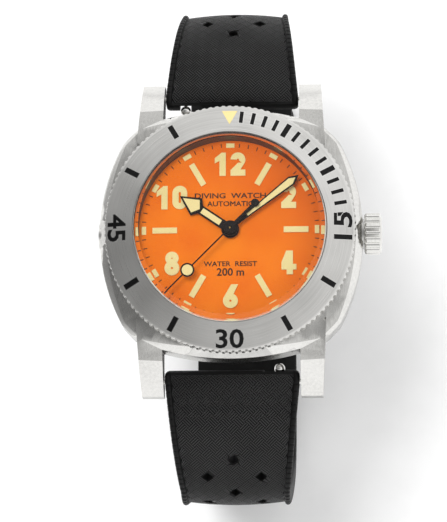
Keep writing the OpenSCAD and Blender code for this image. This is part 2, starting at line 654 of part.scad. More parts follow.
short_path = path(short_legs, [bar_y, bar_z], start_deg);
long_path = path(long_legs, [bar_y, bar_z], start_deg);
tail = long_path[len(long_path) - 2];       // where the tail's straight part starts
short_end = short_path[len(short_path) - 1];
buckle_w = 21;                  // width of the buckle frame
buckle_len = 10.2;              // from the buckle's bar to its front

module strap_section(pts) polygon(concat(offset_path(pts, strap_t / 2), reversed(offset_path(pts, -strap_t / 2))));
// The strap's half width at each height: it narrows soon after the lugs.
half_widths = [[strap_w / 2, 6], [strap_w / 2, 2.3], [9.6, 0.9], [9.15, -1], [8.55, -4.3],
               [strap_end_w / 2, -9], [strap_end_w / 2, -60]];
// The half's side view stretched across the lugs, trimmed to its width.
module strap_band(pts) intersection() {
    translate([-strap_w / 2, 0, 0]) rotate([90, 0, 90]) linear_extrude(strap_w) {
        strap_section(pts);
        translate([bar_y, bar_z]) circle(r = 1.7);
    }
    translate([0, 60, 0]) rotate([90, 0, 0]) linear_extrude(120) polygon(
        concat(half_widths, reversed([for (q = half_widths) [-q[0], q[1]]])));
}
// Places a child at a distance along the legs: +Y on along the strap, +Z outward from the wrist.
module on_strap(pts, back) let (e = pts[len(pts) - 1])
    translate([0, e[0] - back * cos(e[2]), e[1] - back * sin(e[2])]) rotate([e[2], 0, 0]) children();
knob_x = 7;                     // where the release knob stands on the spring bar
release = 1.4;                  // how far the release pin draws back
// Room for the spring bar and its knob, in the +Y half's frame.
module bar_channel(side) {
    along_x(-12, bar_y, bar_z) cylinder(r = 0.8, h = 24);
    translate([side * (knob_x - 0.7) - 1.6, bar_y - 2.4, bar_z - 2.6]) cube([3.2, 2.4, 3.55]);
}
// Diamond holes below the case, each [distance along the strap, x].
module diamond_holes(legs) for (k = [[11.4, 0], [14.55, -4], [14.55, 4], [17.7, 0], [20.85, -4], [20.85, 4], [24, 0]])
    let (q = at_length(legs, k[0])) translate([k[1], q[0], q[1]]) rotate([q[2], 0, 0])
        rotate(45) cube([1.3, 1.3, 8], center = true);

module strap_short() color(RUBBER) difference() {
    union() {
        strap_band(short_path);
        along_x(-strap_end_w / 2, short_end[0], short_end[1]) cylinder(r = 1.6, h = strap_end_w);
    }
    bar_channel(-1);
    along_x(-12, short_end[0], short_end[1]) cylinder(r = 0.8, h = 24);
    on_strap(short_path, 0) translate([-1.3, -2.6, -3]) cube([2.6, 6, 6]);
    diamond_holes(short_legs);
}
module strap_long() color(RUBBER) mirror([0, 1, 0]) difference() {
    union() {
        strap_band(long_path);
        tip = long_path[len(long_path) - 1];
        translate([0, tip[0], tip[1] - strap_t / 2]) intersection() {
            cylinder(r = strap_end_w / 2, h = strap_t);
            translate([-20, -20, -1]) cube([40, 20.01, 10]);
        }
    }
    bar_channel(1);
    diamond_holes(long_legs);
    for (i = [0 : 6]) translate([0, tail[0] - 4 - i * 6, tail[1]])
        rotate(45) cube([1.5, 1.5, 8], center = true);
}
module spring_bar_6() color(STEEL) difference() {
    union() {
        along_x(-9.85, -bar_y, bar_z) cylinder(r = 0.75, h = 19.7);
        along_x(-11.1, -bar_y, bar_z) cylinder(r = 0.4, h = 1.25);
    }
    along_x(4.5, -bar_y, bar_z) cylinder(r = 0.42, h = 6);
    translate([knob_x - release - 0.35, -bar_y, bar_z - 0.3]) cube([release + 0.7, 2, 0.6]);
}
module release_pin_6() color(STEEL) {
    along_x(6.1, -bar_y, bar_z) cylinder(r = 0.37, h = 5.0);
    translate([knob_x, -bar_y, bar_z]) rotate([-90, 0, 0]) {
        cylinder(r = 0.25, h = 1.4);
        translate([0, 0, 1.9]) sphere(r = 0.8, $fn = 32);
    }
}
module spring_bar_12() rotate(180) spring_bar_6();
module release_pin_12() rotate(180) release_pin_6();

// A keeper loop: it holds this half and the other half's tail on the outer side.
module keeper(len, play) {
    wide = strap_end_w + 2 * play;
    low = -strap_t / 2 - play;
    high = strap_t * 1.5 + 0.3;
    translate([0, -len / 2, 0]) difference() {
        translate([-wide / 2 - 1.3, 0, low - 1.1]) cube([wide + 2.6, len, high - low + 2.3]);
        translate([-wide / 2, -1, low]) cube([wide, len + 2, high - low]);
    }
}
module fixed_keeper() color(RUBBER) on_strap(short_path, 6.4) keeper(4, 0);
module loose_keeper() color(RUBBER) on_strap(short_path, 11) keeper(4, 0.15);

module buckle_frame() color(STEEL) on_strap(short_path, 0) {
    for (s = [-1, 1]) translate([s * (buckle_w / 2 - 1) - 1, -1.3, -1.1]) cube([2, buckle_len, 2.2]);
    along_x(-buckle_w / 2, buckle_len - 1.3, 0) cylinder(r = 1.25, h = buckle_w);
    along_x(-buckle_w / 2 + 0.5, 0, 0) cylinder(r = 0.75, h = buckle_w - 1);
}
module buckle_tang() color(STEEL) on_strap(short_path, 0) difference() {
    union() {
        along_x(-1.1, 0, 0) cylinder(r = 1.45, h = 2.2);
        translate([-0.75, 0.6, 1.28]) rotate([1.2, 0, 0]) translate([0, 0, -0.9]) cube([1.5, 1.2, 1.1]);
        translate([-0.75, 0.6, 1.3]) cube([1.5, buckle_len - 0.7, 1.0]);
    }
    along_x(-3, 0, 0) cylinder(r = 0.8, h = 6);
}

mid_case();
case_back();
case_back_gasket();
crown_tube();
valve_bushing();
crystal();
crystal_gasket();
rehaut_ring();
bezel_spring();
bezel_click_spring();
movement_ring();
case_clamps();
dial();
dial_markers();
main_plate();
train_bridge();
barrel_bridge();
balance_cock();
pallet_bridge();
jewels();
bridge_screws();
rotor_bearing();
hairspring();
bezel();
bezel_markings();
bezel_pip();
crown();
winding_stem();
crown_gasket();
clutch_wheel();
helium_valve();
hour_hand();
hour_lume();
hour_wheel();
minute_hand();
minute_lume();
cannon_pinion();
centre_wheel();
seconds_hand();
seconds_lume();
fourth_wheel();
third_wheel();
escape_wheel();
pallet_fork();
balance_wheel();
barrel();
mainspring();
minute_wheel();
rotor();
rotor_weight();
strap_short();
spring_bar_12();
release_pin_12();
fixed_keeper();
loose_keeper();
buckle_frame();
buckle_tang();
strap_long();
spring_bar_6();
release_pin_6();
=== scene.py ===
"""Dive watch: steel cushion case, turning bezel, domed crystal, orange dial and rubber strap.

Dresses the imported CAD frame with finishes, adds the detailed pieces that the eye meets first (case,
bezel, winder, crystal, dial printing, strap and buckle) and sets the studio round it. Metres, +Z out
through the dial, +Y to 12 o'clock, +X to the winder. Sizes in fields are in millimetres.
"""

from __future__ import annotations

import json
import logging
import math
from dataclasses import dataclass
from enum import Enum
from functools import partial
from typing import Callable, Mapping, Sequence

import bmesh
import bpy
from mathutils import Matrix, Vector

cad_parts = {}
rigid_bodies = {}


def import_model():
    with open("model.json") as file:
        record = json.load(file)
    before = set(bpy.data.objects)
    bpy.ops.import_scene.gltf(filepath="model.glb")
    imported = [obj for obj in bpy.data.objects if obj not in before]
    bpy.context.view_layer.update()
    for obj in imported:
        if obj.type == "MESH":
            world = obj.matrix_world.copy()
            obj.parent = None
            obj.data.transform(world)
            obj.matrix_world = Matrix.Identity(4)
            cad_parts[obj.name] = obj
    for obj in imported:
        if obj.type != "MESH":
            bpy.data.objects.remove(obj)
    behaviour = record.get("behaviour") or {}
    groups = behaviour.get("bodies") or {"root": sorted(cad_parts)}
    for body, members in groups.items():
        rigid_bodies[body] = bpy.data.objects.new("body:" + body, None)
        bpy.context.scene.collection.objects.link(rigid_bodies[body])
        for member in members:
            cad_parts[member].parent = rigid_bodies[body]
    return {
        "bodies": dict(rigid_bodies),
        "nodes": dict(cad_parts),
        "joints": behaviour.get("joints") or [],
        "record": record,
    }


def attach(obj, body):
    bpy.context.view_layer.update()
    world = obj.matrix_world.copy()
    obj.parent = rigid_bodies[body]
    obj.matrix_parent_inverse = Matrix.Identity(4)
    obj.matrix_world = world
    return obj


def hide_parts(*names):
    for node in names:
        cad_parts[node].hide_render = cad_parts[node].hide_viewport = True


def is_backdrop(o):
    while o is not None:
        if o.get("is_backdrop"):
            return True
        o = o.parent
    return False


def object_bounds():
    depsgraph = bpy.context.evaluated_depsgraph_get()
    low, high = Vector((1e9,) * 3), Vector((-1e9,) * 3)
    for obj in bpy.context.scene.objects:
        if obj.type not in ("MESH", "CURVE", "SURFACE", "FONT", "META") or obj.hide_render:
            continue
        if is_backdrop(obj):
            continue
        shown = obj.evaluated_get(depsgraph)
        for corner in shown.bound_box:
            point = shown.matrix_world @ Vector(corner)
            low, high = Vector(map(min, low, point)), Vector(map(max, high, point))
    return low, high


MM = 0.001
LOG = logging.getLogger("dive_watch")

Point = Sequence[float]
Profile = Sequence[tuple[float, float]]
Piece = bpy.types.Object
Tree = bpy.types.NodeTree
Socket = bpy.types.NodeSocket
Outputs = bpy.types.NodeOutputs

# node types that are used more than once
MATH = "ShaderNodeMath"
VECTOR = "ShaderNodeVectorMath"
COMBINE = "ShaderNodeCombineXYZ"
SEPARATE = "ShaderNodeSeparateXYZ"
MIX = "ShaderNodeMix"
MAP_RANGE = "ShaderNodeMapRange"
NOISE = "ShaderNodeTexNoise"
PRINCIPLED = "ShaderNodeBsdfPrincipled"
COORDINATES = "ShaderNodeTexCoord"
POSITION = "GeometryNodeInputPosition"
INDEX = "GeometryNodeInputIndex"
NAMED = "GeometryNodeInputNamedAttribute"
STORE = "GeometryNodeStoreNamedAttribute"
OBJECT_INFO = "GeometryNodeObjectInfo"
CIRCLE = "GeometryNodeMeshCircle"
CUBE = "GeometryNodeMeshCube"
ALIGN = "FunctionNodeAlignRotationToVector"
INSTANCE = "GeometryNodeInstanceOnPoints"
REALIZE = "GeometryNodeRealizeInstances"
SET_POSITION = "GeometryNodeSetPosition"
DELETE = "GeometryNodeDeleteGeometry"
SET_MATERIAL = "GeometryNodeSetMaterial"
GROUP_OUTPUT = "NodeGroupOutput"


# ------------------------------------------------------------------ nodes and colours
def linear(code: str) -> tuple[float, float, float, float]:
    """An sRGB hex colour, such as "#FF8A2B", as linear RGBA."""
    channels = [int(code[i : i + 2], 16) / 255 for i in (1, 3, 5)]
    red, green, blue = (c / 12.92 if c <= 0.04045 else ((c + 0.055) / 1.055) ** 2.4 for c in channels)
    return red, green, blue, 1.0


def add_node(
    tree: Tree, kind: str, inputs: Mapping | Sequence = (), operation: str = "", out: int | str | None = 0, **settings
) -> Socket | bpy.types.Node:
    """Adds a node to a tree, with its settings and links.

    Args:
        tree: the node tree.
        kind: the node's type name.
        inputs: values in order, or by input name or index. A socket is linked, anything else is set.
        operation: what the node works out, for a kind that has a choice.
        out: the output that is wanted, or None for the whole node.
        settings: the node's other properties, which are set first.

    Returns:
        The output, or the node where it has none.
    """
    node = tree.nodes.new(kind)
    if operation:
        settings["operation"] = operation
    for key, value in settings.items():
        setattr(node, key, value)
    for key, value in inputs.items() if isinstance(inputs, Mapping) else enumerate(inputs):
        if isinstance(value, Socket):
            tree.links.new(value, node.inputs[key])
        else:
            node.inputs[key].default_value = value
    return node if out is None or not node.outputs else node.outputs[out]


# ------------------------------------------------------------------ finishes
class Grain(Enum):
    """The marks that working or moulding leaves on a surface."""

    TURNED = "rings round the dial's axis"
    TURNED_X = "rings round the winder's axis"
    ALONG_X = "lines along X"
    ALONG_Y = "lines along Y"
    EVEN = "an even fine speckle"


@dataclass(frozen=True)
class Finish:
    """A surface: what it is, how it was made, and the size of the marks on it.

    Attributes:
        name: the material's name.
        colour: its main colour, sRGB hex.
        drift: the colour that its marks and cloudiness drift towards.
        metallic: 1 for bare metal.
        roughness: the middle roughness.
        grain: the way the marks run.
        pitch: spacing across the marks, mm.
        depth: depth of the marks, mm.
        spread: how far the marks move the roughness either way.
        run: how many times longer than its spacing a mark is.
        ior: index of refraction. A metal keeps the default.
        gloss: specular level, 0.5 for the full reflection that the index gives.
        coat: weight of a clear coat over it.
        stretch: anisotropy, which draws highlights out across the marks.
        cloud: size of the slow colour change, mm.
    """

    name: str
    colour: str
    drift: str
    metallic: float
    roughness: float
    grain: Grain = Grain.EVEN
    pitch: float = 0.1
    depth: float = 0.002
    spread: float = 0.06
    run: float = 30.0
    ior: float = 1.5
    gloss: float = 0.5
    coat: float = 0.0
    stretch: float = 0.0
    cloud: float = 6.0

    def material(self) -> bpy.types.Material:
        """The finish's material, made the first time it is asked for."""
        made = bpy.data.materials.get(self.name)
        if made is None:
            made = bpy.data.materials.new(self.name)
            made.use_nodes = True
            made.diffuse_color = linear(self.colour)
            made.node_tree.nodes.clear()
            surface = self.surface(made.node_tree)
            add_node(made.node_tree, "ShaderNodeOutputMaterial", {"Surface": surface})
        return made

    def marks_space(self, tree: Tree, place: Socket) -> Socket:
        """Stretches space so that even noise in it becomes this finish's marks.

        Args:
            tree: the material's node tree.
            place: the object coordinates.

        Returns:
            The stretched coordinates, one unit across a mark.
        """
        add = partial(add_node, tree)
        across, along = 1 / (self.pitch * MM), 1 / (self.pitch * self.run * MM)
        if self.grain in (Grain.TURNED, Grain.TURNED_X):
            flat = (1, 1, 0) if self.grain is Grain.TURNED else (0, 1, 1)
            axis = "Z" if self.grain is Grain.TURNED else "X"
            spoke = add(VECTOR, (place, flat), "MULTIPLY")
            radius = add(VECTOR, (spoke,), "LENGTH", out="Value")
            unit = add(VECTOR, (spoke,), "NORMALIZE")
            # a direction changes by one unit in a radius of travel, so marks keep their run at 16 mm
            turn = add(VECTOR, {0: unit, "Scale": 16 * MM * along}, "SCALE")
            height = add(SEPARATE, (place,), out=None).outputs[axis]
            reach = add(MATH, (height, 0.7, radius), "MULTIPLY_ADD")
            ring = add(MATH, (reach, across), "MULTIPLY")
            shift = add(COMBINE, (ring, ring, ring))
            return add(VECTOR, (turn, shift), "ADD")
        scale = {
            Grain.ALONG_X: (along, across, across),
            Grain.ALONG_Y: (across, along, across),
            Grain.EVEN: (across, across, across),
        }[self.grain]
        return add("ShaderNodeMapping", {"Vector": place, "Scale": scale})

    def surface(self, tree: Tree) -> Socket:
        """Builds the shader.

        Args:
            tree: the material's empty node tree.

        Returns:
            The shader's output socket.
        """
        add = partial(add_node, tree)
        place = add(COORDINATES, out="Object")
        marks = add(
            NOISE, {"Vector": self.marks_space(tree, place), "Scale": 1.0, "Detail": 2.0, "Roughness": 0.55}
        )
        cloud = add(NOISE, {"Vector": place, "Scale": 1 / (self.cloud * MM), "Detail": 1.0})
        both = add(MATH, (marks, cloud), "MULTIPLY")
        share = add(MAP_RANGE, {"Value": both, "From Min": 0.12, "From Max": 0.42})
        colour = add(MIX, {0: share, 6: self.base(tree, place), 7: linear(self.drift)}, out=2, data_type="RGBA")
        rough = add(
            MAP_RANGE,
            {
                "Value": marks, "From Min": 0.3, "From Max": 0.7,
                "To Min": max(self.roughness - self.spread, 0.02), "To Max": self.roughness + self.spread,
            },
        )
        bump = add("ShaderNodeBump", {"Height": marks, "Strength": 1.0, "Distance": self.depth * MM})
        inputs = {
            "Base Color": colour,
            "Metallic": self.metallic,
            "Roughness": rough,
            "IOR": self.ior,
            "Specular IOR Level": self.gloss,
            "Normal": bump,
            "Coat Weight": self.coat,
            "Coat Roughness": 0.08,
        }
        if self.stretch:
            flat = (0, 1, 1) if self.grain is Grain.TURNED_X else (1, 1, 0)
            inputs["Anisotropic"] = self.stretch
            inputs["Tangent"] = add(VECTOR, (place, flat), "MULTIPLY")
        return add(PRINCIPLED, inputs)

    def base(self, tree: Tree, place: Socket) -> tuple | Socket:
        """The colour before drift: plain here, and a pattern in some finishes."""
        return linear(self.colour)


@dataclass(frozen=True)
class PaintedShadeLacquer(Finish):
    """Dial lacquer with painted shade: its colour darkens towards one edge, standing in for the shade near the
    flange.

    Attributes:
        deep: the painted shade's colour at the darker edge, sRGB hex.
    """

    deep: str = "#D45E0C"

    def base(self, tree: Tree, place: Socket) -> Socket:
        """Blends the lacquer's colour into the painted shade colour along the line from 8 to 2 o'clock.

        Args:
            tree: the material's node tree.
            place: the object coordinates.

        Returns:
            The colour socket.
        """
        add = partial(add_node, tree)
        # painted shade: the colour darkens from 8 towards 2 o'clock, where shade falls near the flange
        along = add(VECTOR, (place, (0.66, 0.75, 0)), "DOT_PRODUCT", out="Value")
        share = add(
            MAP_RANGE, {"Value": along, "From Min": -2 * MM, "From Max": 14 * MM}, interpolation_type="SMOOTHSTEP"
        )
        return add(MIX, {0: share, 6: linear(self.colour), 7: linear(self.deep)}, out=2, data_type="RGBA")


@dataclass(frozen=True)
class ClearStone(Finish):
    """Polished sapphire. Lamps reach what is under it, and the eye sees it bent."""

    def surface(self, tree: Tree) -> Socket:
        """Builds the stone's shader: refracting glass that casts no shadow.

        Args:
            tree: the material's empty node tree.

        Returns:
            The shader's output socket.
        """
        add = partial(add_node, tree)
        stone = add(
            PRINCIPLED,
            {
                "Base Color": linear(self.colour), "Roughness": self.roughness, "IOR": self.ior,
                "Specular IOR Level": self.gloss, "Transmission Weight": 1.0,
            },
        )
        clear = add("ShaderNodeBsdfTransparent")
        shadow = add("ShaderNodeLightPath", out="Is Shadow Ray")
        return add("ShaderNodeMixShader", (shadow, stone, clear))


# Brushed 316L steel. Belt and wheel brushing is 0.02 to 0.05 mm apart, drawn coarser so that it shows:
# soft grey sheen, drawn out across the lines, with faint light and dark streaks.
BRUSHED_CASE = Finish(
    "steel_316l_brushed_along_y", "#BCBBB8", "#A6A5A2", 1, 0.28, Grain.ALONG_Y, 0.16, 0.0013, 0.07, 60
)
BRUSHED_BEZEL = Finish(
    "steel_316l_brushed_round", "#D8D7D4", "#C0BFBC", 1, 0.33, Grain.TURNED, 0.15, 0.002, 0.07, 50, stretch=0.45
)
BRUSHED_BACK = Finish(
    "steel_316l_turned_back", "#B9B7B3", "#A3A19D", 1, 0.3, Grain.TURNED, 0.18, 0.002, 0.06, 60, stretch=0.5
)
BRUSHED_BUCKLE = Finish(
    "steel_316l_brushed_buckle", "#CCCBC7", "#B7B5B1", 1, 0.32, Grain.ALONG_X, 0.14, 0.002, 0.06, 50
)
# Polished 316L steel: near a mirror, with the haze of fine wiping scratches.
POLISHED = Finish("steel_316l_polished", "#DEDDDA", "#D0CFCC", 1, 0.12, Grain.EVEN, 0.4, 0.0006, 0.05)
POLISHED_CROWN = Finish(
    "steel_316l_polished_winder", "#E0DFDC", "#D0CFCB", 1, 0.14, Grain.TURNED_X, 0.15, 0.0008, 0.05, 30
)
# Rhodium plated movement brass, with fine straight graining.
RHODIUM = Finish("rhodium_plated_grained", "#CFCCC4", "#B9B6AE", 1, 0.3, Grain.ALONG_X, 0.12, 0.0015, 0.06, 40)
RHODIUM_TURNED = Finish("rhodium_plated_turned", "#CBC8C0", "#B4B1A9", 1, 0.3, Grain.TURNED, 0.12, 0.0015, 0.06, 40)
GILT = Finish("brass_gilt_grained", "#D9B36A", "#C79C50", 1, 0.28, Grain.EVEN, 0.08, 0.0008, 0.05)
BLUED = Finish("spring_steel_blued", "#3C4C7C", "#2C3658", 1, 0.22, Grain.EVEN, 0.1, 0.0005, 0.05)
# Satin black lacquer on brass, as on the hands and the flange.
HAND_BLACK = Finish("lacquer_black_satin", "#120C0A", "#1B1411", 0, 0.36, Grain.EVEN, 0.08, 0.0006, 0.08, gloss=0.2)
FLANGE = Finish("lacquer_black_flange", "#2B2320", "#37302C", 0, 0.42, Grain.TURNED, 0.12, 0.001, 0.08)
# Oven enamel in the engraved bezel marks: deep black, slightly orange-peeled, glossy.
ENAMEL = Finish("enamel_black_filled", "#050505", "#0C0C0C", 0, 0.32, Grain.EVEN, 0.25, 0.003, 0.06, gloss=0.2)
# Sprayed cellulose lacquer: even and satin, with painted shade darkening it towards 2 o'clock.
LACQUER = PaintedShadeLacquer(
    "lacquer_orange_satin", "#EC7C12", "#DE640A", 0, 0.45, Grain.EVEN, 0.12, 0.0012, 0.06, gloss=0.15
)
PRINT = Finish("pad_print_dark_brown", "#2A1408", "#38200F", 0, 0.5, Grain.EVEN, 0.06, 0.0006, 0.06)
# Luminous pigment in resin: cream, matt and faintly grainy.
LUME = Finish("luminous_pigment_cream", "#E4D296", "#DCC886", 0, 0.6, Grain.EVEN, 0.09, 0.003, 0.08)
# Moulded nitrile rubber: black, with a dull bloom and fine mould grain.
RUBBER = Finish(
    "rubber_nitrile_moulded", "#080808", "#0F0F0F", 0, 0.5, Grain.EVEN, 0.12, 0.004, 0.1, ior=1.52, gloss=0.16
)
# The moulded weave's ribs: glossier, and lighter than the band as painted sheen, standing in for the light that
# catches the raised ribs.
RUBBER_RIB_PAINTED_SHEEN = Finish(
    "rubber_nitrile_rubbed", "#1E1E1E", "#2C2C2C", 0, 0.36, Grain.EVEN, 0.12, 0.003, 0.08, ior=1.52, gloss=0.4
)
SEAL = Finish("rubber_seal_moulded", "#141414", "#1C1C1C", 0, 0.42, Grain.EVEN, 0.2, 0.002, 0.06, ior=1.52)
WHITE_SEAL = Finish("nylon_gasket_moulded", "#DAD9D2", "#CFCEC6", 0, 0.42, Grain.EVEN, 0.3, 0.002, 0.05, ior=1.53)
HOLDER = Finish("acetal_movement_ring", "#D5D4CC", "#C9C8BF", 0, 0.45, Grain.EVEN, 0.3, 0.003, 0.06, ior=1.48)
RUBY = Finish("synthetic_ruby_polished", "#B01434", "#8E0C28", 0, 0.08, Grain.EVEN, 0.5, 0.0003, 0.02, ior=1.77)
# Polished sapphire with an anti-reflection coating: its index is lowered so that the dial shows
# without glare, as the coating does.
SAPPHIRE = ClearStone("sapphire_polished_coated", "#FDFEFE", "#FFFFFF", 0, 0.0, ior=1.3)
# Seamless matt studio paper.
PAPER = Finish("studio_paper", "#FAFAFA", "#F7F7F7", 0, 0.9, Grain.EVEN, 4.0, 0.01, 0.02)

DRESS: dict[Finish, tuple[str, ...]] = {
    BRUSHED_CASE: ("mid_case", "crown_tube", "valve_bushing"),
    BRUSHED_BACK: ("case_back",),
    BRUSHED_BEZEL: ("bezel",),
    BRUSHED_BUCKLE: ("buckle_frame",),
    POLISHED: (
        "helium_valve", "buckle_tang", "spring_bar_12", "spring_bar_6", "release_pin_12", "release_pin_6",
        "bezel_spring", "bezel_click_spring", "case_clamps",
    ),
    POLISHED_CROWN: ("crown", "winding_stem"),
    RHODIUM: (
        "main_plate", "train_bridge", "barrel_bridge", "balance_cock", "pallet_bridge", "bridge_screws",
        "clutch_wheel", "escape_wheel", "pallet_fork", "cannon_pinion",
    ),
    RHODIUM_TURNED: ("rotor", "rotor_weight", "rotor_bearing"),
    GILT: ("centre_wheel", "third_wheel", "fourth_wheel", "hour_wheel", "minute_wheel", "barrel", "balance_wheel"),
    BLUED: ("hairspring", "mainspring"),
    HAND_BLACK: ("hour_hand", "minute_hand", "seconds_hand"),
    LUME: ("hour_lume", "minute_lume", "seconds_lume", "dial_markers", "bezel_pip"),
    ENAMEL: ("bezel_markings",),
    FLANGE: ("rehaut_ring",),
    LACQUER: ("dial",),
    RUBBER: ("strap_short", "strap_long", "fixed_keeper", "loose_keeper"),
    SEAL: ("case_back_gasket", "crown_gasket"),
    WHITE_SEAL: ("crystal_gasket",),
    SAPPHIRE: ("crystal",),
    RUBY: ("jewels",),
    HOLDER: ("movement_ring",),
}


# ------------------------------------------------------------------ mesh helpers
def new_object(name: str, mesh: bpy.types.Mesh) -> Piece:
    """Links a new object with that mesh to the scene."""
    piece = bpy.data.objects.new(name, mesh)
    bpy.context.scene.collection.objects.link(piece)
    return piece


def mesh_object(name: str, points: Sequence[Point], faces: Sequence[Sequence[int]]) -> Piece:
    """Makes a closed piece from millimetre points.

    Args:
        name: the object's name.
        points: the vertices, in millimetres.
        faces: vertex numbers of each face.

    Returns:
        The object, its doubles merged and its faces pointing outwards.
    """
    mesh = bpy.data.meshes.new(name)
    mesh.from_pydata([(x * MM, y * MM, z * MM) for x, y, z in points], [], faces)
    piece = new_object(name, mesh)
    heal(piece)
    return piece


def heal(piece: Piece, flat_angle: float = 0.0) -> None:
    """Merges doubles, drops faces of no area and turns the rest outwards.

    Args:
        piece: the object to heal.
        flat_angle: faces that meet within this many degrees become one, 0 for none.
    """
    work = bmesh.new()
    work.from_mesh(piece.data)
    bmesh.ops.remove_doubles(work, verts=work.verts, dist=2e-7)
    bmesh.ops.dissolve_degenerate(work, edges=work.edges, dist=1e-7)
    if flat_angle:
        bmesh.ops.dissolve_limit(work, angle_limit=math.radians(flat_angle), verts=work.verts, edges=work.edges)
    bmesh.ops.recalc_face_normals(work, faces=work.faces)
    work.to_mesh(piece.data)
    work.free()


def smooth(piece: Piece, angle: float = 32.0) -> None:
    """Shades a piece smooth, with edges sharper than angle degrees kept crisp."""
    piece.data.shade_smooth()
    piece.data.set_sharp_from_angle(angle=math.radians(angle))


def bake_modifiers(piece: Piece) -> None:
    """Turns a piece's modifiers into plain mesh and removes them."""
    ready = piece.evaluated_get(bpy.context.evaluated_depsgraph_get())
    piece.data = bpy.data.meshes.new_from_object(ready)
    piece.modifiers.clear()


def set_finish(piece: Piece, *finishes: Finish) -> None:
    """Gives a piece these finishes' materials, in slot order."""
    piece.data.materials.clear()
    for finish in finishes:
        piece.data.materials.append(finish.material())


def turned(
    name: str, profile: Profile, angles: Sequence[float], cut: Callable[[float], float] = lambda angle: math.inf
) -> Piece:
    """Turns a closed profile round Z, with grip cuts in its rim.

    Args:
        name: the object's name.
        profile: a closed loop of (radius, height), mm.
        angles: the angles of the mesh's spokes, radians.
        cut: the largest radius left at an angle.

    Returns:
        The turned piece.
    """
    count = len(profile)
    points = [
        (min(r, cut(a)) * math.cos(a), min(r, cut(a)) * math.sin(a), z) for a in angles for r, z in profile
    ]
    faces = [
        (
            i * count + k,
            (i + 1) % len(angles) * count + k,
            (i + 1) % len(angles) * count + (k + 1) % count,
            i * count + (k + 1) % count,
        )
        for i in range(len(angles))
        for k in range(count)
        if profile[k][0] + profile[(k + 1) % count][0] > 0
    ]
    return mesh_object(name, points, faces)


@dataclass(frozen=True)
class Grip:
    """Round-bottomed cuts spaced evenly round a rim, mm.

    Attributes:
        count: how many cuts.
        rim: radius of the uncut rim.
        cutter: radius of the round cutter.
        outside: how far outside the rim the cutter's centre is.
        samples: mesh spokes across each cut.
    """

    count: int
    rim: float
    cutter: float
    outside: float
    samples: int

    def half_width(self) -> float:
        """Half the width of a cut at the rim."""
        return math.sqrt(self.cutter**2 - self.outside**2)

    def angles(self) -> list[float]:
        """Spoke angles: each cut's samples, then the land's edge."""
        half, pitch = self.half_width(), 2 * math.pi * self.rim / self.count
        steps = [half * math.sin(math.pi / 2 * (2 * k / self.samples - 1)) for k in range(self.samples + 1)]
        steps.append(pitch / 2)
        return [((i + 0.5) * pitch + step) / self.rim for i in range(self.count) for step in steps]

    def cut(self, angle: float) -> float:
        """The radius that the cutter leaves at an angle."""
        pitch = 2 * math.pi / self.count
        off = ((angle / pitch) % 1 - 0.5) * pitch * self.rim
        if abs(off) >= self.half_width():
            return math.inf
        return self.rim + self.outside - math.sqrt(self.cutter**2 - off**2)


@dataclass(frozen=True)
class Machined:
    """A CAD node's own shape with its edges broken, as a deburred part has.

    Attributes:
        node: the CAD node.
        name: the new piece's name.
        body: the CAD body that it rides on.
        slot: the record's material slot.
        edge: width of the broken edge, mm.
        segments: facets across the broken edge.
    """

    node: str
    name: str
    body: str
    slot: str
    edge: float
    segments: int = 2

    def build(self, frame: dict, *finishes: Finish) -> Piece:
        """Copies the node's mesh, breaks its edges and takes its place.

        Args:
            frame: the loaded frame.
            finishes: its finishes, in slot order.

        Returns:
            The new piece, riding on its body.
        """
        piece = new_object(self.name, frame["nodes"][self.node].data.copy())
        heal(piece, 0.2)
        smooth(piece, 25)
        bevel = piece.modifiers.new("broken edge", "BEVEL")
        bevel.width, bevel.segments = self.edge * MM, self.segments
        bevel.limit_method, bevel.angle_limit = "ANGLE", math.radians(35)
        bevel.harden_normals = True
        bake_modifiers(piece)
        set_finish(piece, *finishes)
        settle(piece, self.body, self.slot, self.node)
        return piece


def flat_words(words: str, depth: float, grow: float, width: float, height: float) -> bpy.types.Mesh:
    """Cuts words in the plain built-in face, centred at the origin.

    Args:
        words: what they say.
        depth: their thickness, mm.
        grow: how far their outlines are let out beyond the bold weight, mm.
        width: their whole width before they are let out, mm.
        height: their height before they are let out, mm.

    Returns:
        The words' mesh.
    """
    curve = bpy.data.curves.new(words, "FONT")
    curve.body, curve.size, curve.resolution_u = words, MM, 3
    holder = bpy.data.objects.new(words, curve)
    bpy.context.scene.collection.objects.link(holder)
    ready = holder.evaluated_get(bpy.context.evaluated_depsgraph_get())
    plain_mesh = bpy.data.meshes.new_from_object(ready)
    across = [v.co.x for v in plain_mesh.vertices]
    up = [v.co.y for v in plain_mesh.vertices]
    stretch, rise = width * MM / (max(across) - min(across)), height * MM / (max(up) - min(up))
    # the outline is let out in the face's own size, so the height's scale undoes itself
    curve.offset, curve.extrude = 0.02 * MM + grow * MM / rise, depth * MM / 2
    bpy.context.view_layer.update()
    ready = holder.evaluated_get(bpy.context.evaluated_depsgraph_get())
    mesh = bpy.data.meshes.new_from_object(ready)
    middle = Vector(((max(across) + min(across)) / 2, (max(up) + min(up)) / 2, 0))
    mesh.transform(Matrix.Diagonal((stretch, rise, 1, 1)) @ Matrix.Translation(-middle))
    bpy.data.objects.remove(holder)
    return mesh


def settle(piece: Piece, body: str, slot: str, *nodes: str) -> None:
    """Lets a finished piece ride on a body and stand for CAD nodes, which it hides."""
    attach(piece, body)
    if nodes:
        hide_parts(*nodes)
    LOG.info("%s: %d faces on %s", piece.name, len(piece.data.polygons), body)


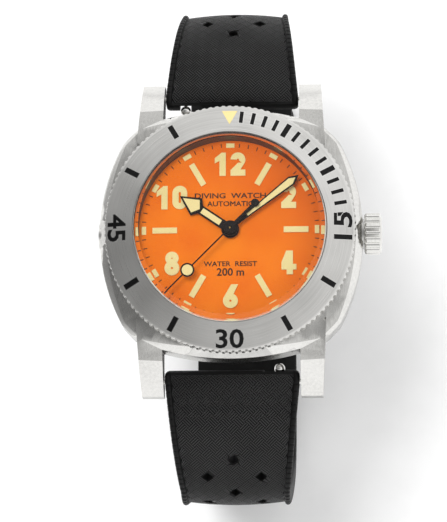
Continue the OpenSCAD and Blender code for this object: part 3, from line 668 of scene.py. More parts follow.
def gn_tree(name: str, inputs: Mapping[str, str]) -> tuple[Tree, Outputs]:
    """Starts a Geometry Nodes tree.

    Args:
        name: the tree's name.
        inputs: socket types by input name, after the geometry.

    Returns:
        The tree and its inputs.
    """
    tree = bpy.data.node_groups.new(name, "GeometryNodeTree")
    tree.interface.new_socket("Geometry", in_out="INPUT", socket_type="NodeSocketGeometry")
    tree.interface.new_socket("Geometry", in_out="OUTPUT", socket_type="NodeSocketGeometry")
    for key, kind in inputs.items():
        tree.interface.new_socket(key, in_out="INPUT", socket_type=kind)
    return tree, add_node(tree, "NodeGroupInput", out=None).outputs


def run_tree(piece: Piece, tree: Tree, values: Mapping[str, object]) -> None:
    """Runs a Geometry Nodes tree on a piece and keeps the result as its mesh.

    Args:
        piece: the object.
        tree: the tree.
        values: what each named input is set to.
    """
    modifier = piece.modifiers.new(tree.name, "NODES")
    modifier.node_group = tree
    for item in tree.interface.items_tree:
        if item.in_out == "INPUT" and item.name in values:
            modifier[item.identifier] = values[item.name]
    bake_modifiers(piece)


def stand_blocks(add: Callable, ask: Outputs, laid: Mapping) -> None:
    """Ends a tree of blocks: stands them, lifts them to their height and dresses them.

    Args:
        add: adds a node to the tree.
        ask: the tree's inputs, with Height and Finish among them.
        laid: the instancing node's inputs.
    """
    solid = add(REALIZE, (add(INSTANCE, laid),))
    lift = add(COMBINE, {2: ask["Height"]})
    raised = add(SET_POSITION, {"Geometry": solid, "Offset": lift})
    add(GROUP_OUTPUT, (add(SET_MATERIAL, {"Geometry": raised, "Material": ask["Finish"]}),))


def joined(name: str, meshes: Sequence[bpy.types.Mesh]) -> Piece:
    """Joins meshes into one healed piece."""
    work = bmesh.new()
    for mesh in meshes:
        work.from_mesh(mesh)
    whole = bpy.data.meshes.new(name)
    work.to_mesh(whole)
    work.free()
    piece = new_object(name, whole)
    heal(piece)
    return piece


# ------------------------------------------------------------------ case
@dataclass(frozen=True)
class CaseSet:
    """The case middle, its back and the crystal.

    Attributes:
        crystal_r: radius of the crystal.
        crystal_low: height of its underside.
        crystal_edge: height where its side meets the bevel.
        dome_r: radius where the bevel meets the dome.
        dome_radius: radius of the dome's sphere.
        dome_top: height of the dome's middle.
    """

    crystal_r: float = 14.0
    crystal_low: float = 9.9
    crystal_edge: float = 11.9
    dome_r: float = 13.3
    dome_radius: float = 110.0
    dome_top: float = 13.35

    def build(self, frame: dict) -> None:
        """Builds the case middle, the case back and the crystal."""
        middle = Machined("mid_case", "case_middle", "case", "brushed_case", 0.07).build(
            frame, BRUSHED_CASE, POLISHED
        )
        for face in middle.data.polygons:
            # the bevel round the shoulder is polished: it stands between the flat and the upright faces
            face.material_index = int(0.55 < face.normal.z < 0.9)
        Machined("case_back", "case_back_turned", "case", "brushed_case", 0.1).build(frame, BRUSHED_BACK)
        crystal = self.crystal()
        set_finish(crystal, SAPPHIRE)
        settle(crystal, "case", "sapphire", "crystal")

    def crystal(self) -> Piece:
        """The domed crystal with its polished bevel."""
        dome = [
            (r, self.dome_top - self.dome_radius + math.sqrt(self.dome_radius**2 - r * r))
            for r in (self.dome_r * k / 8 for k in range(9))
        ]
        side = [(self.crystal_r, self.crystal_edge), (self.crystal_r, self.crystal_low), (0, self.crystal_low)]
        stone = turned("crystal_domed", [*dome, *side], [2 * math.pi * i / 192 for i in range(192)])
        smooth(stone, 25)
        return stone


# ------------------------------------------------------------------ bezel
@dataclass(frozen=True)
class BezelSet:
    """The turning bezel with its coin edge.

    Attributes:
        grip: the coin edge.
        sink: how far the steel lies under the filled marks, so that they stand just proud.
        neck: the bore that turns on the case's neck.
        low: height of the underside.
        lip: height of the underside over the neck.
        mark_r: radius of the bars' and numerals' middles.
        numeral_width: width of a pair of numerals.
        numeral_height: height of the numerals.
        crest: height of the sloping face's inner edge.
        crest_r: radius of that edge.
        fall: how far the face falls over its run.
        run: the face's run, from its inner edge outwards.
        mark_depth: thickness of the marks.
        mark_proud: how far the marks stand out of the steel.
        rim_proud: how far the polished rims round them do.
        bar_rim: how much wider and longer than a bar its rim is.
        numeral_rim: width of the rim round a numeral.
        bar: length and width of a minute's bar.
        long_bar: length and width of a five-minute bar.
    """

    grip: Grip = Grip(120, 18.5, 0.33, 0.12, 6)
    sink: float = 0.02
    neck: float = 15.58
    low: float = 8.0
    lip: float = 10.65
    mark_r: float = 16.6
    numeral_width: float = 3.9
    numeral_height: float = 2.65
    crest: float = 11.2
    crest_r: float = 14.15
    fall: float = 1.05
    run: float = 4.05
    mark_depth: float = 0.12
    mark_proud: float = 0.02
    rim_proud: float = 0.006
    bar_rim: float = 0.16
    numeral_rim: float = 0.07
    bar: tuple[float, float] = (1.9, 0.56)
    long_bar: tuple[float, float] = (2.3, 0.8)

    def top(self, radius: float) -> float:
        """Height of the steel's sloping top face at a radius."""
        return self.crest - self.fall * (radius - self.crest_r) / self.run - self.sink

    def slope(self) -> float:
        """The sloping face's angle, radians."""
        return math.atan(self.fall / self.run)

    def profile(self) -> list[tuple[float, float]]:
        """The bezel's cross-section, from the bore's foot round by the outside."""
        slope = [(r, self.top(r)) for r in (18.12, 18.0, 16.3, 14.4, 14.3)]
        return [
            (self.neck, self.low), (17.9, self.low), (18.1, self.low + 0.05), (self.grip.rim, self.low + 0.45),
            (self.grip.rim, 9.80), (18.45, 9.95), (18.32, 10.06), *slope, (14.2, self.top(14.25) - 0.05),
            (self.crest_r, self.top(14.2) - 0.15), (self.crest_r, self.lip + 0.06), (14.21, self.lip),
            (self.neck, self.lip),
        ]

    def build(self, frame: dict) -> None:
        """Builds the bezel ring, its bars and its numerals."""
        ring = turned("bezel_ring", self.profile(), self.grip.angles(), self.grip.cut)
        smooth(ring, 28)
        set_finish(ring, BRUSHED_BEZEL)
        settle(ring, "bezel", "brushed_case", "bezel")
        bars = self.bars("bezel_bars", 0.0, self.mark_proud, ENAMEL)
        numerals = self.numerals("bezel_numerals", 0.0, self.mark_proud)
        set_finish(numerals, ENAMEL)
        settle(bars, "bezel", "black_enamel", "bezel_markings")
        settle(numerals, "bezel", "black_enamel")
        rims = self.bars("bezel_bar_rims", self.bar_rim, self.rim_proud, POLISHED)
        settle(rims, "bezel", "brushed_case")
        edges = self.numerals("bezel_numeral_rims", self.numeral_rim, self.rim_proud)
        set_finish(edges, POLISHED)
        settle(edges, "bezel", "brushed_case")

    def bars(self, name: str, margin: float, proud: float, finish: Finish) -> Piece:
        """Lays the filled bars round the bezel.

        Args:
            name: the piece's name.
            margin: how much wider and longer than the fill each bar is.
            proud: how far the bars stand out of the steel.
            finish: their finish.

        Returns:
            The bars, as one piece.
        """
        fields = ("Radius", "Height", "Slope", "Length", "Width", "Depth", "Long", "Wide")
        inputs = {"Finish": "NodeSocketMaterial"} | {key: "NodeSocketFloat" for key in fields}
        tree, ask = gn_tree(name + " layout", inputs)
        add = partial(add_node, tree)
        circle = add(CIRCLE, {"Vertices": 60, "Radius": ask["Radius"]})
        # vertex 0 lies at 3 o'clock and they run the other way from the minutes: minute = 15 - index
        index = add(INDEX)
        minute = add(MATH, (75.0, index), "SUBTRACT")
        minute = add(MATH, (minute, 60.0), "MODULO")
        fifth = add(MATH, (minute, 5.0), "MODULO")
        off = add(MATH, (fifth, 0.5), "GREATER_THAN")
        late = add(MATH, (minute, 15.5), "GREATER_THAN")
        late = add(MATH, (late, off), "MULTIPLY")
        quarter = add(MATH, (minute, 15.0), "MODULO")
        quarter = add(MATH, (quarter, 0.5), "LESS_THAN")
        drop = add(MATH, (late, quarter), "MAXIMUM")
        points = add(STORE, {"Geometry": circle, "Name": "fine", "Value": off}, data_type="FLOAT", domain="POINT")
        points = add(DELETE, {"Geometry": points, "Selection": drop}, domain="POINT")
        fine = add(NAMED, {"Name": "fine"}, out="Attribute", data_type="FLOAT")
        length, width = (
            add(MIX, {0: fine, 2: ask[big], 3: ask[small]}, data_type="FLOAT")
            for big, small in (("Long", "Length"), ("Wide", "Width"))
        )
        size = add(COMBINE, (length, width, ask["Depth"]))
        block = add(CUBE, {"Size": (1.0, 1.0, 1.0)})
        place = add(POSITION)
        spoke = add(ALIGN, {"Vector": place}, axis="X")
        lean = add(COMBINE, {1: ask["Slope"]})
        turn = add("FunctionNodeRotateRotation", {"Rotation": spoke, "Rotate By": lean}, rotation_space="LOCAL")
        stand_blocks(add, ask, {"Points": points, "Instance": block, "Rotation": turn, "Scale": size})
        depth, slope = self.mark_depth, self.slope()
        piece = new_object(name, bpy.data.meshes.new(name))
        values = {
            "Radius": self.mark_r * MM, "Slope": slope, "Depth": depth * MM, "Finish": finish.material(),
            "Height": (self.top(self.mark_r) + (proud - depth / 2) / math.cos(slope)) * MM,
            "Length": (self.bar[0] + margin) * MM, "Width": (self.bar[1] + margin) * MM,
            "Long": (self.long_bar[0] + margin) * MM, "Wide": (self.long_bar[1] + margin) * MM,
        }
        run_tree(piece, tree, values)
        return piece

    def numerals(self, name: str, grow: float, proud: float) -> Piece:
        """Sets 15, 30 and 45 round the bezel, their feet outwards, in a plain face.

        Args:
            name: the piece's name.
            grow: how far the outlines are let out.
            proud: how far they stand out of the steel.

        Returns:
            The numerals, as one piece.
        """
        slope, depth, meshes = self.slope(), self.mark_depth, []
        for quarter, words in ((1, "15"), (2, "30"), (3, "45")):
            mesh = flat_words(words, depth, grow, self.numeral_width, self.numeral_height)
            foot_out = -math.radians(90 * quarter) + math.pi
            level = Vector((0, -self.mark_r * MM, (self.top(self.mark_r) + proud - depth / 2) * MM))
            mesh.transform(
                Matrix.Rotation(foot_out, 4, "Z") @ Matrix.Translation(level) @ Matrix.Rotation(slope, 4, "X")
            )
            meshes.append(mesh)
        return joined(name, meshes)


# ------------------------------------------------------------------ winder
@dataclass(frozen=True)
class WinderSet:
    """The fluted winder at 3 o'clock.

    Attributes:
        grip: its flutes.
        face: X of its inner face.
        height: Z of its axis.
    """

    grip: Grip = Grip(22, 3.1, 0.3, 0.12, 8)
    face: float = 19.7
    height: float = 4.5

    def build(self, frame: dict) -> None:
        """Builds the winder, turned about Z and then laid along X."""
        profile = [
            (0.5, 1.6), (1.75, 1.6), (1.75, 0.0), (2.72, 0.0), (2.83, 0.03), (3.07, 0.27), (3.1, 0.36),
            (3.1, 2.12), (3.06, 2.22), (2.95, 2.32), (2.72, 2.5), (2.6, 2.555), (2.4, 2.57), (1.2, 2.595),
            (0, 2.6), (0, 2.1), (0.5, 2.1),
        ]
        winder = turned("winder_fluted", profile, self.grip.angles(), self.grip.cut)
        lay = Matrix(((0, 0, 1, self.face * MM), (0, 1, 0, 0), (-1, 0, 0, self.height * MM), (0, 0, 0, 1)))
        winder.data.transform(lay)
        smooth(winder, 35)
        set_finish(winder, POLISHED_CROWN)
        settle(winder, "crown", "polished_steel", "crown")


# ------------------------------------------------------------------ dial
@dataclass(frozen=True)
class Caption:
    """A line of plain dial print.

    Attributes:
        words: what it says.
        middle: Y of its middle line, mm.
        height: height of its capitals, mm.
        width: its whole width, mm.
    """

    words: str
    middle: float
    height: float
    width: float


@dataclass(frozen=True)
class DialSet:
    """The dial's printing: minute strokes and plain captions.

    Attributes:
        top: height of the dial's face.
        ink: thickness of the print.
        stroke_r: middle radius of the minute strokes.
        stroke_length: their length.
        stroke_width: their width.
        captions: the lines of print.
    """

    top: float = 7.6
    ink: float = 0.02
    stroke_r: float = 12.66
    stroke_length: float = 0.6
    stroke_width: float = 0.13
    captions: tuple[Caption, ...] = (
        Caption("DIVING  WATCH", 5.1, 0.75, 10.3),
        Caption("AUTOMATIC", 3.9, 0.72, 6.7),
        Caption("WATER  RESIST", -5.0, 0.7, 7.7),
        Caption("200 m", -6.2, 1.1, 3.9),
    )

    def build(self, frame: dict) -> None:
        """Prints the strokes and the captions."""
        strokes = self.strokes()
        settle(strokes, "case", "black_metal")
        words = self.words()
        set_finish(words, PRINT)
        settle(words, "case", "black_metal")

    def strokes(self) -> Piece:
        """Lays a stroke on each minute that has no hour block."""
        inputs = {
            "Radius": "NodeSocketFloat", "Length": "NodeSocketFloat", "Width": "NodeSocketFloat",
            "Ink": "NodeSocketFloat", "Height": "NodeSocketFloat", "Finish": "NodeSocketMaterial",
        }
        tree, ask = gn_tree("minute strokes", inputs)
        add = partial(add_node, tree)
        circle = add(CIRCLE, {"Vertices": 60, "Radius": ask["Radius"]})
        index = add(INDEX)
        fifth = add(MATH, (index, 5.0), "MODULO")
        on_hour = add(MATH, (fifth, 0.5), "LESS_THAN")
        minutes = add(DELETE, {"Geometry": circle, "Selection": on_hour}, domain="POINT")
        size = add(COMBINE, (ask["Length"], ask["Width"], ask["Ink"]))
        stroke = add(CUBE, {"Size": size})
        place = add(POSITION)
        spoke = add(ALIGN, {"Vector": place}, axis="X")
        stand_blocks(add, ask, {"Points": minutes, "Instance": stroke, "Rotation": spoke})
        piece = new_object("minute_strokes", bpy.data.meshes.new("minute_strokes"))
        values = {
            "Radius": self.stroke_r * MM, "Length": self.stroke_length * MM, "Width": self.stroke_width * MM,
            "Ink": self.ink * MM, "Height": (self.top + self.ink / 2) * MM, "Finish": PRINT.material(),
        }
        run_tree(piece, tree, values)
        return piece

    def words(self) -> Piece:
        """Sets the captions in a plain face, as one piece."""
        meshes = []
        for caption in self.captions:
            mesh = flat_words(caption.words, self.ink, 0.0, caption.width, caption.height)
            mesh.transform(Matrix.Translation((0, caption.middle * MM, (self.top + self.ink / 2) * MM)))
            meshes.append(mesh)
        return joined("dial_captions", meshes)


# ------------------------------------------------------------------ strap
class Side(Enum):
    """Which lugs a strap half hangs from: its sign along Y."""

    TWELVE = 1
    SIX = -1


@dataclass(frozen=True)
class BasketWeave:
    """The moulded basket weave: square cells of four ribs, each cell turned across the next, mm.

    Attributes:
        cell: half a cell's diagonal.
        spacing: from rib to rib in a cell.
        length: length of a rib.
        width: width of a rib at its foot.
        height: height of a rib.
        start: distance along the strap where the weave starts.
        hole_reach: half a perforation's diagonal, with a little room.
    """

    cell: float = 0.95
    spacing: float = 0.335
    length: float = 1.3
    width: float = 0.215
    height: float = 0.16
    start: float = -0.95
    hole_reach: float = 0.98


@dataclass(frozen=True)
class WeaveTree:
    """The parts of the tree that lays the weave on a flat strap half.

    Attributes:
        add: adds a node to the tree.
        ask: the tree's inputs.
        half: half the weave's width where a point is.
    """

    add: Callable
    ask: Outputs
    half: Socket

    def cells(self) -> Socket:
        """Lays a point at each cell's middle: every other point of a fine grid.

        Returns:
            The points, each with its lean, 1 or -1.
        """
        add, ask, half = self.add, self.ask, self.half
        place = add(POSITION)
        x, along, _ = add(SEPARATE, (place,), out=None).outputs
        run = add(MATH, (ask["Weave end"], ask["Weave start"]), "SUBTRACT")
        rows = add(MATH, (run, ask["Cell"]), "DIVIDE")
        rows = add(MATH, (rows,), "FLOOR")
        size_x = add(MATH, (ask["Cell"], 20.0), "MULTIPLY")
        size_y = add(MATH, (ask["Cell"], rows), "MULTIPLY")
        points_y = add(MATH, (rows, 1.0), "ADD")
        grid = add(
            "GeometryNodeMeshGrid", {"Size X": size_x, "Size Y": size_y, "Vertices X": 21, "Vertices Y": points_y}
        )
        middle = add(MATH, (size_y, 0.5, ask["Weave start"]), "MULTIPLY_ADD")
        centre = add(COMBINE, {1: middle})
        grid = add(SET_POSITION, {"Geometry": grid, "Offset": centre})
        column = add(MATH, (x, ask["Cell"]), "DIVIDE")
        column = add(MATH, (column,), "ROUND")
        row = add(MATH, (along, ask["Weave start"]), "SUBTRACT")
        row = add(MATH, (row, ask["Cell"]), "DIVIDE")
        row = add(MATH, (row,), "ROUND")
        total = add(MATH, (column, row), "ADD")
        odd = add(MATH, (total, 2.0), "FLOORED_MODULO")
        wide = add(MATH, (x,), "ABSOLUTE")
        past = add(MATH, (wide, half), "SUBTRACT")
        past = add(MATH, (past, ask["Cell"]), "GREATER_THAN")
        drop = add(MATH, (odd, past), "MAXIMUM")
        kept = add(DELETE, {"Geometry": grid, "Selection": drop}, domain="POINT")
        parity = add(MATH, (column, 2.0), "FLOORED_MODULO")
        lean = add(MATH, (parity, 2.0, -1.0), "MULTIPLY_ADD")
        lean = add(MATH, (lean, ask["Side"]), "MULTIPLY")
        return add(STORE, {"Geometry": kept, "Name": "lean", "Value": lean}, data_type="FLOAT", domain="POINT")

    def leaning(self) -> Socket:
        """The turn of a point's cell: its lean, 45 degrees to one side or the other."""
        add = self.add
        lean = add(NAMED, {"Name": "lean"}, out="Attribute", data_type="FLOAT")
        angle = add(MATH, (lean, math.radians(45)), "MULTIPLY")
        return add(COMBINE, {2: angle})

    def hole_offset(self) -> tuple[Socket, Socket, Socket]:
        """How a point lies from its nearest perforation.

        Returns:
            The perforation's middle, the way from it, and the distance counted as a diamond's.
        """
        add, ask = self.add, self.ask
        dots = add(OBJECT_INFO, {"Object": ask["Perforations"]}, out="Geometry")
        nearest = add("GeometryNodeProximity", (dots,), out="Position", target_element="POINTS")
        place = add(POSITION)
        away = add(VECTOR, (place, nearest), "SUBTRACT")
        flat = add(VECTOR, (away,), "ABSOLUTE")
        reach = add(VECTOR, (flat, (1.0, 1.0, 0.0)), "DOT_PRODUCT", out="Value")
        return nearest, away, reach

    def rib_points(self, cells: Socket) -> Socket:
        """Lays four points across each cell, and drops those off the edge or in a perforation.

        Args:
            cells: the cells' points.

        Returns:
            A point for each rib.
        """
        add, ask, half = self.add, self.ask, self.half
        step = add(COMBINE, (ask["Rib spacing"],))
        first = add(VECTOR, {0: step, "Scale": -1.5}, "SCALE")
        line = add("GeometryNodeMeshLine", {"Count": 4, "Start Location": first, "Offset": step}, mode="OFFSET")
        four = add(INSTANCE, {"Points": cells, "Instance": line, "Rotation": self.leaning()})
        points = add(REALIZE, (four,))
        reach = self.hole_offset()[2]
        room = add(MATH, (ask["Hole reach"], 0.94), "MULTIPLY")
        inside = add(MATH, (reach, room), "LESS_THAN")
        place = add(POSITION)
        x = add(SEPARATE, (place,))
        wide = add(MATH, (x,), "ABSOLUTE")
        brim = add(MATH, (ask["Rib length"], 0.3, half), "MULTIPLY_ADD")
        past = add(MATH, (wide, brim), "GREATER_THAN")
        drop = add(MATH, (inside, past), "MAXIMUM")
        return add(DELETE, {"Geometry": points, "Selection": drop}, domain="POINT")

    def ribs(self, points: Socket) -> Socket:
        """Stands a rib, a bar with a narrower top, on each point.

        Args:
            points: the ribs' points.

        Returns:
            The ribs, as mesh.
        """
        add, ask = self.add, self.ask
        place = add(POSITION)
        out = add(SEPARATE, (place,), out=2)
        tall = add(MATH, (ask["Rib height"], 2.0), "MULTIPLY")
        size = add(COMBINE, (ask["Rib width"], ask["Rib length"], tall))
        bar = add(CUBE, {"Size": size})
        is_top = add(MATH, (out, 0.0), "GREATER_THAN")
        narrow = add(MIX, {0: is_top, 4: (1.0, 1.0, 1.0), 5: (0.6, 0.94, 1.0)}, out=1, data_type="VECTOR")
        shape = add(VECTOR, (place, narrow), "MULTIPLY")
        bar = add(SET_POSITION, {"Geometry": bar, "Position": shape})
        laid = add(INSTANCE, {"Points": points, "Instance": bar, "Rotation": self.leaning()})
        return add(REALIZE, (laid,))

    def clip(self, ribs: Socket) -> Socket:
        """Pushes what overhangs a perforation, the edge bead or the weave's ends back to its line.

        Args:
            ribs: the ribs.

        Returns:
            The trimmed ribs.
        """
        add, ask, half = self.add, self.ask, self.half
        nearest, away, reach = self.hole_offset()
        grow = add(MATH, (ask["Hole reach"], reach), "DIVIDE")
        grow = add(MATH, (grow, 1.0), "MAXIMUM")
        grow = add(COMBINE, (grow, grow, 1.0))
        pushed = add(VECTOR, (away, grow, nearest), "MULTIPLY_ADD")
        least = add(MATH, (half, -1.0), "MULTIPLY")
        low = add(COMBINE, (least, ask["Weave start"], -1.0))
        high = add(COMBINE, (half, ask["Weave end"], 1.0))
        above = add(VECTOR, (pushed, low), "MAXIMUM")
        within = add(VECTOR, (above, high), "MINIMUM")
        return add(SET_POSITION, {"Geometry": ribs, "Position": within})

    def drop(self, ribs: Socket) -> Socket:
        """Drops the ribs on to the face: its height clear of the holes, and the fall of its crown.

        Args:
            ribs: the ribs, standing at height 0.

        Returns:
            The ribs on the band's outer face.
        """
        add, ask, half = self.add, self.ask, self.half
        place = add(POSITION)
        x, along, _ = add(SEPARATE, (place,), out=None).outputs
        probe = add(COMBINE, (2 * MM, along, 5 * MM))
        hit = add(
            "GeometryNodeRaycast",
            {
                "Target Geometry": ask["Geometry"], "Source Position": probe, "Ray Direction": (0, 0, -1),
                "Ray Length": 0.02,
            },
            out="Hit Position",
        )
        face = add(SEPARATE, (hit,), out="Z")
        square = add(MATH, (x, x), "MULTIPLY")
        beyond = add(MATH, (square, (2 * MM) ** 2), "SUBTRACT")
        whole = add(MATH, (half, half), "MULTIPLY")
        part = add(MATH, (beyond, whole), "DIVIDE")
        fall = add(MATH, (part, ask["Crown"]), "MULTIPLY")
        level = add(MATH, (face, fall), "SUBTRACT")
        lift = add(COMBINE, {2: level})
        return add(SET_POSITION, {"Geometry": ribs, "Offset": lift})

    def wrap(self, flat: Socket) -> Socket:
        """Wraps the flat half along its path.

        Args:
            flat: the flat half.

        Returns:
            The half in its place.
        """
        add, ask = self.add, self.ask
        place = add(POSITION)
        x, along, out = add(SEPARATE, (place,), out=None).outputs
        reach = add(MATH, (along, ask["Lead"]), "ADD")
        curve = add(OBJECT_INFO, {"Object": ask["Path"]}, out="Geometry")
        spot = add("GeometryNodeSampleCurve", {"Curves": curve, "Length": reach}, out=None, mode="LENGTH").outputs
        normal = add(VECTOR, ((1.0, 0.0, 0.0), spot["Tangent"]), "CROSS_PRODUCT")
        stand = add(MATH, (out, ask["Side"]), "MULTIPLY")
        rise = add(VECTOR, {0: normal, "Scale": stand}, "SCALE")
        across = add(COMBINE, (x,))
        over = add(VECTOR, (across, rise), "ADD")
        wrapped = add(VECTOR, (spot["Position"], over), "ADD")
        return add(SET_POSITION, {"Geometry": flat, "Position": wrapped})


def weave_tree() -> Tree:
    """The tree that covers a flat strap half with weave and wraps it along its path."""
    made = bpy.data.node_groups.get("basket weave")
    if made:
        return made
    inputs = {key: "NodeSocketObject" for key in ("Path", "Perforations")}
    inputs.update({key: "NodeSocketMaterial" for key in ("Band finish", "Rib finish")})
    lengths = (
        "Lead", "Side", "Cell", "Rib spacing", "Rib length", "Rib width", "Rib height", "Weave start",
        "Weave end", "Top width", "Low width", "Taper", "Crown", "Hole reach",
    )
    inputs.update({key: "NodeSocketFloat" for key in lengths})
    tree, ask = gn_tree("basket weave", inputs)
    add = partial(add_node, tree)
    along = add(SEPARATE, (add(POSITION),), out=1)
    slim = add(MATH, (ask["Low width"], ask["Top width"]), "SUBTRACT")
    share = add(MATH, (along, ask["Taper"]), "DIVIDE", use_clamp=True)
    half = add(MATH, (share, slim, ask["Top width"]), "MULTIPLY_ADD")
    weave = WeaveTree(add, ask, half)
    ribs = weave.ribs(weave.rib_points(weave.cells()))
    ribs = weave.drop(weave.clip(ribs))
    ribs = add(STORE, {"Geometry": ribs, "Name": "rib", "Value": True}, data_type="BOOLEAN", domain="FACE")
    both = add("GeometryNodeJoinGeometry", out=None)
    tree.links.new(ask["Geometry"], both.inputs[0])
    tree.links.new(ribs, both.inputs[0])
    bent = weave.wrap(both.outputs[0])
    solid = add(REALIZE, (bent,))
    band = add(SET_MATERIAL, {"Geometry": solid, "Material": ask["Band finish"]})
    is_rib = add(NAMED, {"Name": "rib"}, out="Attribute", data_type="BOOLEAN")
    dressed = add(SET_MATERIAL, {"Geometry": band, "Selection": is_rib, "Material": ask["Rib finish"]})
    add(GROUP_OUTPUT, (dressed,))
    return tree


@dataclass(frozen=True)
class StrapHalf:
    """One moulded half of the rubber strap, laid out flat and then wrapped along its path.

    Flat, x runs across, y along from the spring bar and z outwards from the middle of the thickness.

    Attributes:
        name: the new piece's name.
        node: the CAD node that it replaces, which is also its body.
        side: the lugs it hangs from.
        legs: the path's legs, each (length, turn in degrees).
        weave_end: distance along where the weave stops.
        holes: perforations, each (x, distance along, half its diagonal).
        end_boss: radius of the rounded end over the buckle's bar, 0 for a tongue.
        bar_y: distance of the spring bar from the dial's middle.
        bar_z: height of the spring bar.
        start: the path's heading at the bar, degrees.
        lead: length of the path that is kept before the bar.
        boss: radius of the rounded end over the spring bar.
        boss_run: distance over which the end thins to the strap's thickness.
        thickness: thickness of the strap.
        width: width at the lugs.
        end_width: width at the far end.
        taper: distance over which the width changes.
        bead: radius of the raised edge.
        crown: how far the outer face falls from its middle to its edge.
        notch_pitch: spacing of the notches in the edge.
        notch: depth of a notch.
        tip_thin: how much thinner the tongue's tip is.
        bar_hole: radius of the holes for the bars.
        step: spacing of the mesh's stations.
        weave: the weave on the outer face.
    """

    name: str
    node: str
    side: Side
    legs: tuple[tuple[float, float], ...]
    weave_end: float
    holes: tuple[tuple[float, float, float], ...]
    end_boss: float = 0.0
    bar_y: float = 21.6
    bar_z: float = 2.1
    start: float = -5.0
    lead: float = 4.0
    boss: float = 1.7
    boss_run: float = 3.2
    thickness: float = 2.8
    width: float = 19.9
    end_width: float = 16.4
    taper: float = 18.0
    bead: float = 0.45
    crown: float = 0.5
    notch_pitch: float = 0.95
    notch: float = 0.17
    tip_thin: float = 0.45
    bar_hole: float = 0.8
    step: float = 0.158
    weave: BasketWeave = BasketWeave()

    def length(self) -> float:
        """Length of the path from bar to end."""
        return sum(leg[0] for leg in self.legs)

    def on_path(self, along: float) -> tuple[float, float]:
        """Where the path is, at a distance along it.

        Args:
            along: distance from the spring bar, mm. It may lie before or past the path.

        Returns:
            (distance outward, height), mm.
        """
        u, v, turn = self.bar_y, self.bar_z, math.radians(self.start)
        if along < 0:
            return u + along * math.cos(turn), v + along * math.sin(turn)
        for length, bend in self.legs:
            bend = math.radians(bend)
            part = min(along / length, 1.0)
            if bend:
                radius = length / bend
                u += radius * (math.sin(turn + part * bend) - math.sin(turn))
                v += radius * (math.cos(turn) - math.cos(turn + part * bend))
            else:
                u += part * length * math.cos(turn)
                v += part * length * math.sin(turn)
            turn += part * bend
            along -= length * part
            if part < 1:
                return u, v
        return u + along * math.cos(turn), v + along * math.sin(turn)

    def half_width(self, along: float) -> float:
        """Half the strap's width at a distance along, with its rounded ends."""
        share = min(max(along / self.taper, 0.0), 1.0)
        half = (self.width + (self.end_width - self.width) * share) / 2
        corner, past = 0.8, along + self.boss
        if past < corner:
            half -= corner - math.sqrt(max(corner**2 - (corner - past) ** 2, 0))
        if not self.end_boss:
            past = along - self.length()
            if past > 0:
                half = math.sqrt(max((self.end_width / 2) ** 2 - past**2, 0))
        return max(half, 0.3)

    def half_height(self, along: float) -> float:
        """Half the strap's thickness at a distance along, swelling round its bars."""
        height = self.thickness / 2
        for boss, centre in ((self.boss, 0.0), (self.end_boss, self.length())):
            off = along - centre
            if boss and abs(off) < self.boss_run:
                outer = (centre == 0) == (off < 0)
                if outer:
                    height = math.sqrt(max(boss**2 - off**2, 0.0))
                else:
                    height += (boss - self.thickness / 2) * (1 - smooth_step(0, self.boss_run, abs(off)))
        if not self.end_boss:
            past = along - self.length()
            if past > 0:
                height -= self.tip_thin * (past / (self.end_width / 2)) ** 4
        return max(height, 0.03)

    def beading(self, along: float) -> float:
        """How far the raised edge is formed, from 0 at the ends to 1."""
        far = self.length() - (1.5 if self.end_boss else -1.0)
        return smooth_step(-1.35, -0.75, along) * (1 - smooth_step(far - 2.5, far, along))

    def section(self, along: float) -> list[tuple[float, float]]:
        """The cross-section, from the middle of the outer face round the right edge to the inner face.

        Args:
            along: distance from the spring bar, mm.

        Returns:
            Points (x, z), mm, for x from 0 out and back to 0.
        """
        half, high, edge = self.half_width(along), self.half_height(along), self.beading(along)
        bead = min(self.bead, high * 0.6, half * 0.5)
        cut = self.notch * edge if abs((along / self.notch_pitch) % 1 - 0.5) < 0.13 else 0.0
        inner = half - 2 * bead
        points = []
        for k in range(9):
            x = inner * k / 8
            points.append((x, high - edge * (0.15 + self.crown * (k / 8) ** 2)))
        for k in range(8):
            turn = math.radians((90 + 80 * edge) * (1 - k / 7))
            reach = bead - cut * math.sin(max(turn, 0.25)) if k else bead
            points.append((half - bead + reach * math.cos(turn), high - bead + reach * math.sin(turn)))
        low = min(0.35, high * 0.5)
        points += [(half, high - bead - 0.25 * (high - bead + high - low)), (half, -high + low)]
        points += [(half - low * 0.3, -high + low * 0.3), (half - low, -high)]
        points += [(inner * k, -high) for k in (0.6, 0.3, 0.0)]
        return points

    def flat(self) -> Piece:
        """The half laid out flat, before its holes are cut."""
        stop = self.length() + (self.end_boss or self.end_width / 2)
        stations = [-self.boss * math.cos(math.pi / 2 * k / 7) for k in range(7)]
        count = int(self.length() / self.step)
        stations += [k * self.step for k in range(count + 1)]
        rest = stop - count * self.step
        stations += [count * self.step + rest * math.sin(math.pi / 2 * k / 12) for k in range(1, 13)]
        points, faces, ring = [], [], 0
        for along in stations:
            right = self.section(along)
            loop = [*right, *((-x, z) for x, z in reversed(right[1:-1]))]
            ring = len(loop)
            points += [(x, along, z) for x, z in loop]
        for i in range(len(stations) - 1):
            for k in range(ring):
                after = (k + 1) % ring
                faces.append((i * ring + k, i * ring + after, (i + 1) * ring + after, (i + 1) * ring + k))
        faces += [tuple(range(ring)), tuple(range(len(points) - ring, len(points)))]
        return mesh_object(self.name, points, faces)

